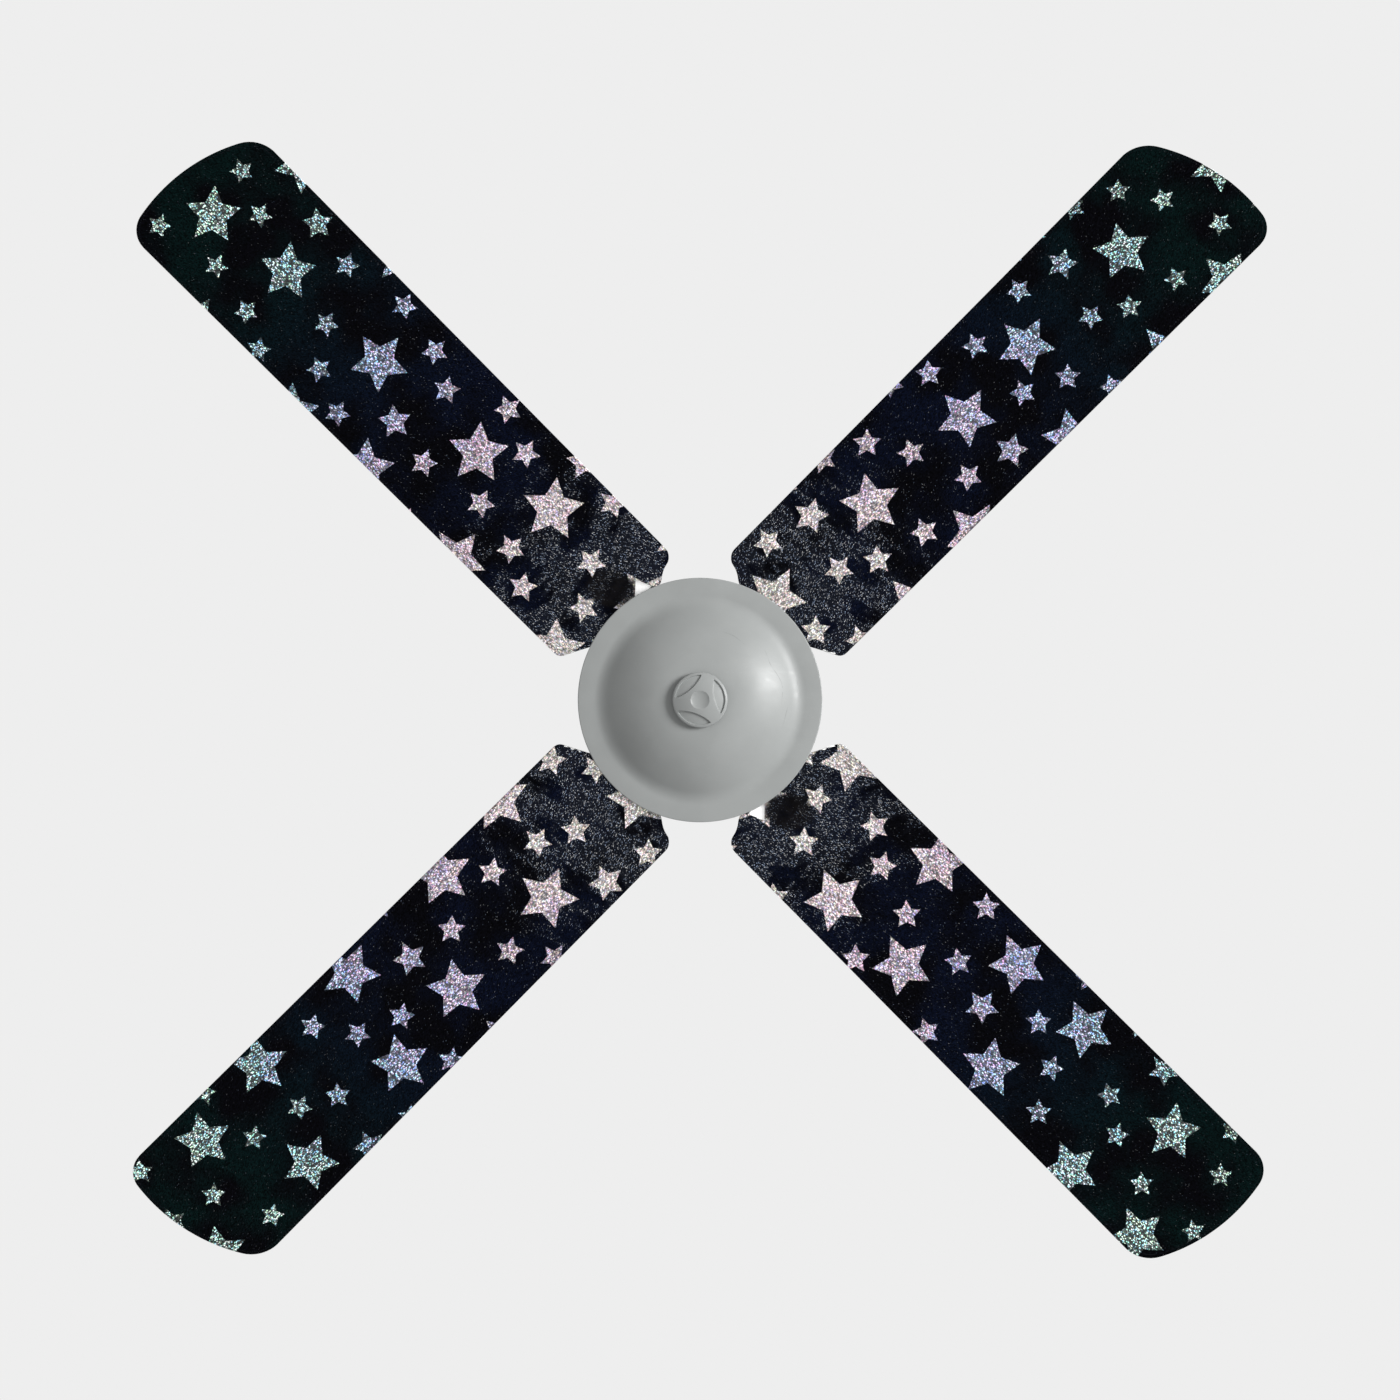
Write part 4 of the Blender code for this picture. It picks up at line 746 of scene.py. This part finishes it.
class Sleeve:
    """The cloth of one arm: two sheets that share their sewn edges and part round the bracket's neck."""

    def __init__(self, arm):
        self.arm = arm
        self.hand = -1 if arm % 2 == 0 else 1
        self.middle = self.hand * BLADE_OFFSET
        self.random = np.random.default_rng(31 + arm)
        self.shares = across_shares()
        self.flat, self.sheet, self.faces = [], [], []
        self.lay_out()
        self.shape()

    def is_mouth(self, across):
        beside = self.hand < 0 and 0 < across < TURNED_MOUTH
        return beside or abs(across) < MOUTH_HALF_WIDTH

    def lay_out(self):
        """Flat places of every vertex, and the faces. Sheet -1 is the under one, 1 the upper, 0 both."""
        grids = {}
        for sheet in (-1, 1):
            grid = []
            for column, share in enumerate(self.shares):
                start, end = line_ends(share, self.hand)
                at_side = column in (0, len(self.shares) - 1)
                if sheet < 0 and self.hand < 0:
                    start = notch_start(share * side_half_width(start) + self.middle, start)
                line = []
                reaches = along_line(start, end)
                for row, reach in enumerate(reaches):
                    across = share * side_half_width(reach) + self.middle
                    sewn = at_side or row == len(reaches) - 1 or (row == 0 and not self.is_mouth(across))
                    if sewn and sheet > 0:
                        line.append(grids[-1][column][row])
                        continue
                    line.append(len(self.flat))
                    self.flat.append((reach, across))
                    self.sheet.append(0 if sewn else sheet)
                grid.append(line)
            grids[sheet] = grid
            for left, right in zip(grid, grid[1:]):
                for row in range(len(left) - 1):
                    corners = [left[row], left[row + 1], right[row + 1], right[row]]
                    self.faces.append((corners if sheet > 0 else corners[::-1], sheet))
        self.grids = grids
        self.flat = np.array(self.flat)
        self.sheet = np.array(self.sheet)

    def rims(self):
        """The sewn edge as an open chain, from one side of the mouth round the tip to the other."""
        under = self.grids[-1]
        hem = [line[0] for line in reversed(under) if not self.is_mouth(self.flat[line[0]][1])]
        low = [v for v in hem if self.flat[v][1] < 0]
        high = [v for v in hem if self.flat[v][1] > 0]
        round_tip = [*under[0], *(line[-1] for line in under), *reversed(under[-1])]
        return [self.flat[v] for v in (*low, *round_tip, *high)]

    def shape(self):
        """Lifts both sheets off the flat layout, and works out what the cloth material needs."""
        reach, across = self.flat[:, 0], self.flat[:, 1]
        self.seam = seam_distance(self.flat, self.rims())
        opened = np.sqrt(1 - (1 - np.clip(self.seam / SEAM_ROUND, 0, 1)) ** 2)
        palm = palm_shape(reach, across)
        under = UNDER_LIFT - 1.5 * MM * palm
        over = OVER_LIFT + PALM_RISE * palm
        lift = np.where(self.sheet < 0, under, np.where(self.sheet > 0, over, 0.0)) * opened
        # Gathers of the elastic hem fade out within a few millimetres; puckers run along the side seams.
        hem = np.abs(reach - np.array([root_reach(value - self.middle, self.hand) for value in across]))
        gather = np.exp(-hem / (7 * MM)) * np.sin(tau * across / (6.5 * MM) + self.arm)
        free = self.sheet != 0
        lift += free * gather * 0.55 * MM
        pucker = np.exp(-self.seam / (5 * MM)) * np.sin(tau * reach / (9 * MM) + 2 * self.arm)
        lift += free * pucker * 0.25 * MM * smooth_step(self.seam, 0, 2 * MM)
        # Loose folds near the root run slantwise over the cloth.
        loose = smooth_step(reach, 250 * MM, 105 * MM) * smooth_step(self.seam, 2 * MM, 22 * MM)
        fold = np.zeros(len(reach))
        for _ in range(5):
            turn = 0.75 * self.hand + self.random.uniform(-0.5, 0.5)
            size = self.random.uniform(22, 55) * MM
            phase = self.random.uniform(0, tau)
            fold += np.sin(tau * (reach * cos(turn) + across * sin(turn)) / size + phase) * size
        fold /= 0.12
        outward = np.where(self.sheet < 0, -1.0, 1.0)
        self.lift = lift + free * outward * loose * np.abs(fold) * 1.1 * MM
        self.facing = self.facing_patch(reach, across)

    def facing_patch(self, reach, across):
        """0 to 1: the plain patch, which only the turned-over sleeves have."""
        if self.hand > 0:
            return np.zeros(len(reach))
        along, beside = reach - FACING_MIDDLE[0], across - FACING_MIDDLE[1]
        first = (along * cos(FACING_TURN) + beside * sin(FACING_TURN)) / FACING_SIZE[0]
        second = (beside * cos(FACING_TURN) - along * sin(FACING_TURN)) / FACING_SIZE[1]
        return (self.sheet <= 0) * smooth_step(np.hypot(first, second), 1.35, 0.7)

    def print_places(self):
        """Places on the cloth's print, in mm. The upper sheet carries on past the arm's +across edge."""
        reach, across = self.flat.T / MM
        far_edge = (side_half_width(self.flat[:, 0]) + self.middle) / MM
        first_reach, first_across, turn = CLOTH_CUTS[self.arm]
        back = -radians(turn)
        places = {}
        for sheet in (-1, 1):
            along = reach - first_reach
            sideways = (across if sheet < 0 else 2 * far_edge - across) - first_across
            first = along * cos(back) - sideways * sin(back)
            second = along * sin(back) + sideways * cos(back)
            places[sheet] = np.stack((first, second), axis=1)
        return places

    def build(self, material):
        mesh = bpy.data.meshes.new(f"sleeve_{self.arm + 1}")
        places = np.column_stack((self.flat, self.lift))
        mesh.from_pydata(places.tolist(), [], [corners for corners, _ in self.faces])
        mesh.materials.append(material)
        uv = mesh.uv_layers.new(name="print")
        prints = self.print_places()
        values = [prints[sheet][vertex] for corners, sheet in self.faces for vertex in corners]
        uv.data.foreach_set("uv", np.concatenate(values))
        for name, numbers in (("reach", self.flat[:, 0]), ("seam", self.seam), ("facing", self.facing)):
            layer = mesh.attributes.new(name, "FLOAT", "POINT")
            layer.data.foreach_set("value", np.ascontiguousarray(numbers))
        mesh.shade_smooth()
        return new_object(mesh.name, mesh)


def board_collider(middle):
    """A plain copy of the board and the palm for the cloth to rest on while it settles."""
    bm = bmesh.new()
    inset = 3.5 * MM
    rows = []
    for step in range(61):
        reach = ROOT_REACH + inset + (SWEEP - ROOT_REACH - 2 * inset - 4 * MM) * step / 60
        half = side_half_width(reach) - inset
        if reach < ROOT_REACH + 20 * MM:
            half = min(half, sqrt(max(0.0, (ROOT_ARC - inset) ** 2 - (ROOT_REACH + ROOT_ARC - reach) ** 2)))
        if reach > SWEEP - 60 * MM:
            half *= sqrt(max(0.05, 1 - ((reach - SWEEP + 60 * MM) / (75 * MM)) ** 2))
        rows.append((reach, half, middle, -1.5 * MM, 1.5 * MM))
    neck = 17 * MM
    palm = []
    for reach, half in ((88, neck), (100, neck), (101, PALM_HALF_WIDTH), (143, PALM_HALF_WIDTH)):
        palm.append((reach * MM, half, 0, 1.5 * MM, 5.0 * MM))
    for group in (rows, palm):
        rings = []
        for reach, half, centre, low, high in group:
            left, right = centre - half, centre + half
            corners = ((reach, left, low), (reach, right, low), (reach, right, high), (reach, left, high))
            rings.append([bm.verts.new(corner) for corner in corners])
        for one, other in zip(rings, rings[1:]):
            for k in range(4):
                bm.faces.new((one[k - 1], one[k], other[k], other[k - 1]))
        bm.faces.new(rings[0])
        bm.faces.new(rings[-1])
    collider = add_mesh("collider", bm, None)
    collider.modifiers.new("hit", "COLLISION")
    collider.collision.thickness_outer = 0.4 * MM
    collider.collision.thickness_inner = 1 * MM
    return collider


def points(obj):
    places = np.zeros(3 * len(obj.data.vertices))
    obj.data.vertices.foreach_get("co", places)
    return places.reshape(-1, 3)


def settle(obj, sleeve):
    """Lets the cloth hang: its seams and hem are held, and it is a little slack near the root."""
    scene = bpy.context.scene
    held = obj.vertex_groups.new(name="held")
    slack = obj.vertex_groups.new(name="slack")
    hem = [line[0] for grid in sleeve.grids.values() for line in grid]
    fixed = (sleeve.sheet == 0) | np.isin(np.arange(len(sleeve.flat)), hem)
    held.add(np.nonzero(fixed)[0].tolist(), 1.0, "REPLACE")
    for vertex, weight in enumerate(smooth_step(sleeve.flat[:, 0], 300 * MM, 110 * MM)):
        if weight > 0.01:
            slack.add([vertex], float(weight), "REPLACE")
    cloth = obj.modifiers.new("cloth", "CLOTH")
    for name, value in CLOTH.items():
        setattr(cloth.settings, name, value)
    cloth.settings.effector_weights.gravity = 0.35
    cloth.collision_settings.distance_min = 0.4 * MM
    cloth.collision_settings.use_self_collision = False
    for span in (cloth.point_cache, scene):
        span.frame_start = 1
        span.frame_end = SETTLE_FRAMES
    for step in range(1, SETTLE_FRAMES + 1):
        scene.frame_set(step)
    planned = points(obj)
    moved = points(obj.evaluated_get(bpy.context.evaluated_depsgraph_get())) - planned
    moved[~np.isfinite(moved)] = 0
    size = np.linalg.norm(moved, axis=1)
    near_seam = smooth_step(sleeve.seam, 1.5 * MM, 10 * MM)
    limited = SETTLE_LIMIT * np.tanh(size / SETTLE_LIMIT)
    moved *= (near_seam * limited / np.maximum(size, 1e-9))[:, None]
    obj.modifiers.remove(cloth)
    scene.frame_set(1)
    obj.data.vertices.foreach_set("co", (planned + moved).ravel())
    obj.vertex_groups.clear()


def put_on_arm(obj, arm):
    """Carries a mesh from an arm's own coordinates to its place on the fan."""
    turn = Matrix.Rotation(FIRST_ARM + arm * tau / ARM_COUNT, 4, "Z")
    obj.data.transform(turn @ Matrix.Translation((0, 0, BLADE_PLANE)) @ Matrix.Rotation(PITCH, 4, "X"))


def make_sleeves():
    material = star_cloth()
    sleeves = []
    for arm in range(ARM_COUNT):
        sleeve = Sleeve(arm)
        obj = sleeve.build(material)
        collider = board_collider(sleeve.middle)
        settle(obj, sleeve)
        bpy.data.objects.remove(collider)
        put_on_arm(obj, arm)
        obj.data.update()
        thick = obj.modifiers.new("thickness", "SOLIDIFY")
        thick.thickness = CLOTH_THICKNESS
        thick.offset = 0
        stand_in(obj, "spinning_part", f"blade_cover_{arm + 1}")
        sleeves.append(obj)
    return sleeves


# ---- covers and knob


def dome_height(radius):
    """Outer height of the dome, with a soft fillet where it runs out into the flat rim."""
    spread = 5 * MM * min(1.0, max(0.0, radius - DOME_FLAT) / (20 * MM))
    places = np.linspace(radius - spread, radius + spread, 11)
    shares = np.clip((places - DOME_FLAT) / (DOME_RADIUS - DOME_FLAT), 0.0, 1.0)
    return float(np.mean(DISC_FACE - (DISC_FACE - DOME_LOW) * (1 - shares**1.9)))


def make_lower_cover(material):
    """Domed disc with a flat rim, a lip and, inside, the boss."""
    radii = np.linspace(DOME_FLAT, DOME_RADIUS + 6 * MM, 45)
    outside = [(radius, dome_height(radius)) for radius in radii]
    inside = [(radius, height + DISC_WALL * 1.15) for radius, height in outside]
    seat = DOME_LOW + 16.5 * MM
    outline = [
        (STUD_RADIUS + 0.3 * MM, DOME_LOW),
        *outside,
        (DISC_RADIUS, DISC_FACE),
        (DISC_RADIUS, DISC_TOP),
        (DISC_RADIUS - 1.6 * MM, DISC_TOP),
        (DISC_RADIUS - 1.6 * MM, DISC_FACE + DISC_WALL),
        *reversed(inside),
        (BOSS_RADIUS, inside[0][1]),
        (BOSS_RADIUS, seat),
        (STUD_RADIUS + 4.8 * MM, seat),
        (STUD_RADIUS + 4.8 * MM, DOME_LOW + 15 * MM),
        (STUD_RADIUS + 0.3 * MM, DOME_LOW + 15 * MM),
    ]
    cover = turned("hub_cover", rounded(outline, 0.8 * MM), material, 192)
    stand_in(cover, "lower_cover_part", "lower_cover")


def knob_face(radius, turn):
    """Height of the knob's face over its lowest plane: a dished middle and three lowered lens shapes."""
    x, y = radius * cos(turn), radius * sin(turn)
    raised = DIMPLE_DEPTH * max(0.0, 1 - (radius / DIMPLE_RADIUS) ** 2) ** 0.9
    raised += KNOB_CROWN * (radius / KNOB_RADIUS) ** 2
    lens = 0.0
    away = LENS_NEAR + LENS_RADIUS
    for k in range(3):
        middle = LENS_TURN + k * tau / 3
        inside = LENS_RADIUS - sqrt((x - away * cos(middle)) ** 2 + (y - away * sin(middle)) ** 2)
        inside = min(inside, KNOB_RADIUS - KNOB_RIM - radius)
        lens = max(lens, float(smooth_step(inside, -0.2 * MM, 0.25 * MM)))
    return raised + LENS_STEP * lens


def make_knob(material):
    radii = [KNOB_RADIUS * k / 96 for k in range(92)]
    face = [(radius, KNOB_FACE) for radius in radii]
    shoulder = []
    for turn in np.linspace(0, pi / 2, 8)[1:]:
        radius = radii[-1] + (KNOB_RADIUS - radii[-1]) * sin(turn)
        shoulder.append((radius, KNOB_FACE + KNOB_CROWN * 0.92 + 1.4 * MM * (1 - cos(turn))))
    outline = [
        *face,
        *shoulder,
        (KNOB_RADIUS, KNOB_TOP - 0.8 * MM),
        (KNOB_RADIUS - 0.8 * MM, KNOB_TOP),
        (STUD_RADIUS, KNOB_TOP),
        (STUD_RADIUS, KNOB_HIGH[2] - MM),
        (STUD_RADIUS - MM, KNOB_HIGH[2]),
        (0, KNOB_HIGH[2]),
    ]

    def relief(radius, turn, height):
        if height > KNOB_FACE + 0.01 * MM or radius > radii[-1] + 0.01 * MM:
            return height
        return height + knob_face(radius, turn)

    outline[0] = (0, KNOB_FACE + DIMPLE_DEPTH)
    knob = turned("hub_knob", outline, material, 216, closed=False, relief=relief)
    stand_in(knob, "knob_part", "centre_knob")


def bell(rim, rim_height, shoulder_height, collar_height, fullness):
    """Outline of a bell from its wide rim to its collar."""
    collar = 15.5 * MM
    points = [(rim, rim_height)]
    for turn in np.linspace(0, pi / 2, 27):
        radius = collar + (rim - collar) * max(0.0, cos(turn)) ** fullness
        points.append((radius, shoulder_height + (collar_height - shoulder_height) * sin(turn) ** fullness))
    return points


def thickened(outer, wall):
    """The inner face of a bell, moved in from its outline by the wall."""
    moved = []
    for index, (radius, height) in enumerate(outer):
        before = outer[max(index - 1, 0)]
        after = outer[min(index + 1, len(outer) - 1)]
        along = Vector((after[0] - before[0], after[1] - before[1])).normalized()
        moved.append((radius + along.y * wall, height - along.x * wall))
    return moved


def make_sliding_cover(name, node, outer, wall, collar_end, material):
    """A thin bell with a hole for the rod."""
    rod = 10.8 * MM
    inner = [(max(radius, rod), height) for radius, height in thickened(outer, wall)]
    outline = [*outer, (outer[-1][0], collar_end), (rod, collar_end), *reversed(inner)]
    piece = turned(name, rounded(outline, 0.7 * MM), material, 144)
    stand_in(piece, f"{node}_part", node)


def make_covers(material):
    """The canopy under the ceiling and the small bell over the coupling."""
    low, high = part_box("canopy")
    outer = bell(high[0], high[2], high[2] - 7 * MM, low[2] + 10 * MM, 1.2)
    make_sliding_cover("ceiling_cover", "canopy", outer, 1.4 * MM, low[2], material)
    low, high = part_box("coupling_cover")
    outer = bell(high[0], low[2], low[2] + 7.5 * MM, high[2] - 9 * MM, 1.05)
    make_sliding_cover("rod_cover", "coupling_cover", outer, -1.3 * MM, high[2], material)


def make_rotor_shell(name, node, up, material):
    """Half of the cast rotor shell, with shallow ribs on its flat face, which looks up (1) or down (-1)."""
    low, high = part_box(node)
    radius = high[0]
    face, split = (high[2], low[2]) if up > 0 else (low[2], high[2])
    depth, width = (10 * MM, 14 * MM) if up > 0 else (2 * MM, 2 * MM)
    shoulder = []
    for turn in np.linspace(0, pi / 2, 10):
        shoulder.append((radius - width + width * sin(turn), face - up * depth * (1 - cos(turn))))
    ribbed = [(place, face) for place in np.linspace(9.5 * MM, radius - 15.5 * MM, 23)]
    outline = [
        *ribbed,
        *shoulder,
        (radius, split + up * 2.4 * MM),
        (radius - 0.7 * MM, split + up * 1.7 * MM),
        (radius - 0.7 * MM, split + up * 0.6 * MM),
        (radius - 0.2 * MM, split),
        (67.4 * MM, split),
        (67.4 * MM, split + up * 12 * MM),
        (60 * MM, split + up * 16 * MM),
        (27 * MM, face - up * 4.5 * MM),
        (19 * MM, face - up * 5.0 * MM),
        (9.5 * MM, face - up * 5.0 * MM),
    ]

    def relief(distance, turn, height):
        if abs(height - face) > 0.01 * MM:
            return height
        ring = smooth_step(distance, 26 * MM, 29 * MM) * smooth_step(distance, 60 * MM, 57 * MM)
        spoke = smooth_step(0.5 + 0.5 * cos(24 * turn), 0.35, 0.75)
        return height - up * 1.3 * MM * float(ring) * float(spoke)

    piece = turned(name, outline, material, 240, relief=relief)
    stand_in(piece, "spinning_part", node)


# ---- carried-over CAD nodes


def soften_group():
    """Geometry nodes: joins a node's split corners and marks only its real edges sharp."""
    tree = bpy.data.node_groups.new("soften", "GeometryNodeTree")
    tree.interface.new_socket("Geometry", in_out="INPUT", socket_type="NodeSocketGeometry")
    tree.interface.new_socket("Geometry", in_out="OUTPUT", socket_type="NodeSocketGeometry")
    steps = ("MergeByDistance", "RemoveAttribute", "SetShadeSmooth", "StoreNamedAttribute")
    kinds = ["NodeGroupInput", *("GeometryNode" + step for step in steps), "NodeGroupOutput"]
    chain = [tree.nodes.new(kind) for kind in kinds]
    for one, other in zip(chain, chain[1:]):
        tree.links.new(one.outputs[0], other.inputs[0])
    weld, strip, mark = chain[1], chain[2], chain[4]
    weld.inputs["Distance"].default_value = 0.005 * MM
    strip.inputs["Name"].default_value = "custom_normal"
    mark.data_type = "BOOLEAN"
    mark.domain = "EDGE"
    mark.inputs["Name"].default_value = "sharp_edge"
    angle = tree.nodes.new("GeometryNodeInputMeshEdgeAngle")
    steep = tree.nodes.new("FunctionNodeCompare")
    steep.inputs[1].default_value = radians(33)
    tree.links.new(angle.outputs["Unsigned Angle"], steep.inputs[0])
    tree.links.new(steep.outputs[0], mark.inputs["Value"])
    return tree


def dress_node(obj, material, edge, soften):
    """Gives a carried-over CAD node its material, smooth round faces and slightly broken edges."""
    for slot in obj.material_slots:
        slot.material = material
    obj.modifiers.new("soften", "NODES").node_group = soften
    if edge:
        bevel = obj.modifiers.new("edge", "BEVEL")
        bevel.width = edge
        bevel.segments = 2
        bevel.limit_method = "ANGLE"
        bevel.angle_limit = radians(40)


# ---- picture


def area_light(name, place, size, power):
    """A round soft lamp that points at the middle of the blades."""
    data = bpy.data.lights.new(name, "AREA")
    data.shape = "DISK"
    data.size = size
    data.energy = power
    lamp = new_object(name, data)
    lamp.location = place
    aim = Vector((0, 0, BLADE_PLANE)) - Vector(place)
    lamp.rotation_euler = aim.to_track_quat("-Z", "Y").to_euler()
    lamp.visible_camera = False
    return lamp


def light_only(lamp, objects, state="INCLUDE"):
    """Makes a lamp light only these objects, or with EXCLUDE all others."""
    group = bpy.data.collections.new(lamp.name + "_lit")
    lamp.light_linking.receiver_collection = group
    for obj in objects:
        group.objects.link(obj)
    for member in group.collection_objects:
        member.light_linking.link_state = state


def make_world(seen, ambient):
    """An even pale backdrop for the camera and a dimmer even glow for the light."""
    world = bpy.data.worlds.new("studio")
    world.use_nodes = True
    n = Nodes(world.node_tree)
    back = world.node_tree.nodes["Background"]
    ray = n.node("LightPath").outputs["Is Camera Ray"]
    n.feed(back.inputs["Color"], n.blend(ray, (ambient,) * 3, seen))
    bpy.context.scene.world = world


def make_floor(height, colour, backdrop):
    """A wide pale floor, seen only from above, that runs out into the backdrop."""
    bm = bmesh.new()
    lifted = Matrix.Translation((0, 0, height))
    bmesh.ops.create_grid(bm, x_segments=24, y_segments=24, size=16.0, matrix=lifted)
    n = new_material("floor")
    far = n.between(from_axis(n), 1.0, 4.5)
    near = n.blend(n.cloud(120 * MM, 4, 0.3, 0.7), times(colour, 0.985), colour)
    base = n.blend(far, near, (0, 0, 0))
    glow = {"Emission_Color": backdrop, "Emission_Strength": far}
    n.finish(Base_Color=base, Roughness=0.95, Specular_IOR_Level=0.0, **glow)
    clear = n.node("BsdfTransparent").outputs[0]
    seen = n.node("LightPath").outputs["Is Camera Ray"]
    behind = n.node("NewGeometry").outputs["Backfacing"]
    share = n.times(seen, n.minus(1.0, behind))
    body = n.tree.nodes["Principled BSDF"].outputs[0]
    mixed = n.node("MixShader", {0: share, 1: clear, 2: body}).outputs[0]
    n.feed(n.tree.nodes["Material Output"].inputs["Surface"], mixed)
    floor = add_mesh("floor", bm, n.material)
    if floor.data.polygons[0].normal.z < 0:
        floor.data.flip_normals()


def make_camera():
    data = bpy.data.cameras.new("camera")
    data.sensor_width = SENSOR
    data.lens = SENSOR * CAMERA_DISTANCE / VIEW_WIDTH
    camera = new_object("camera", data)
    camera.location = (0, 0, BLADE_PLANE - CAMERA_DISTANCE)
    camera.rotation_euler = (pi, 0, 0)
    bpy.context.scene.camera = camera


# ---- the fan

GREY = screen(176, 179, 178)

sleeves = make_sleeves()
make_lower_cover(grey_plastic("hub_grey", GREY, 0.41, 1.0, scratched=True))
make_knob(grey_plastic("knob_grey", times(GREY, 0.98), 0.34, 0.3))
make_covers(grey_plastic("cover_grey", times(GREY, 0.98), 0.46))
shell_grey = grey_plastic("shell_grey", times(GREY, 0.95), 0.4, 0.3, 2.4 * MM)
make_rotor_shell("motor_shell_top", "rotor_shell_top", 1, shell_grey)
make_rotor_shell("motor_shell_bottom", "rotor_shell_bottom", -1, shell_grey)

zinc = metal("zinc", screen(150, 152, 156), 0.5)
ground_steel = metal("ground_steel", screen(196, 196, 194), 0.24, (1, 1, 30), 0.15)
finishes = (
    # material, how wide the broken edges are in mm, and patterns for the nodes' names
    (zinc, 0.25, "hanger_bracket canopy_screw coupling_cover_screw"),
    (zinc, 0.2, "shackle_pin shackle_nut coupling_pin roller_sleeve"),
    (zinc, 0.15, "foot_screw_?"),
    (metal("wire_steel", screen(150, 150, 152), 0.3, (4, 4, 4), 0.2), 0, "coupling_clip"),
    (ground_steel, 0.15, "motor_shaft shaft_nut coupling_grub_screw"),
    (ground_steel, 0.15, "?????_bearing_inner upper_bearing_outer"),
    (ground_steel, 0, "lower_bearing_outer ?????_ball_cage"),
    (cast_metal("iron", screen(92, 93, 95), 0.55, 0.35), 0.3, "shaft_coupling"),
    (cast_metal("ferrite", screen(58, 58, 60), 0.6, 0.1), 0.2, "rotor_ring"),
    (laminations("steel_plates", screen(150, 148, 144)), 0, "stator_core"),
    (wound_wire("copper", screen(196, 112, 62)), 0.5, "stator_winding"),
    (moulded("rubber", screen(38, 38, 40), 0.62), 0.3, "hanger_roller"),
    (moulded("terminal", screen(226, 224, 214), 0.4), 0.3, "terminal_block"),
    (moulded("lead", screen(206, 205, 200), 0.5), 0, "supply_lead"),
    (moulded("capacitor_case", screen(44, 45, 48), 0.42), 0.4, "capacitor"),
    (moulded("nylon", screen(228, 227, 222), 0.45), 0.2, "knob_washer"),
    (grey_plastic("rod_grey", times(GREY, 0.95), 0.35, 0.6), 0.3, "downrod"),
    (grey_plastic("arm_grey", times(GREY, 0.9), 0.42, 0.4), 0.3, "blade_bracket_?"),
    (sealed_board("board", screen(250, 250, 249)), 0, "blade_?"),
)
soften = soften_group()
for material, edge, patterns in finishes:
    for pattern in patterns.split():
        for name in matching(frame["nodes"], pattern):
            dress_node(frame["nodes"][name], material, edge * MM, soften)

backdrop = screen(238, 238, 238)
make_floor(cad_box[0][2] - 0.32, screen(236, 236, 236), backdrop)
make_world(backdrop, 0.34)
boards = [frame["nodes"][name] for name in matching(frame["nodes"], "blade_?")]
key = area_light("key", (4.2, -1.1, BLADE_PLANE - 2.9), 2.2, 245)
light_only(key, sleeves, "EXCLUDE")
front = area_light("front", (0.4, -0.1, BLADE_PLANE - 5.0), 2.2, 176)
light_only(front, sleeves + boards)
area_light("top_key", (4.2, -6.0, 6.6), 4.2, 470)
area_light("top_fill", (-6.6, 4.8, 4.8), 5.4, 300)
make_camera()

scene = bpy.context.scene
scene.view_settings.view_transform = "Standard"
scene.view_settings.look = "None"
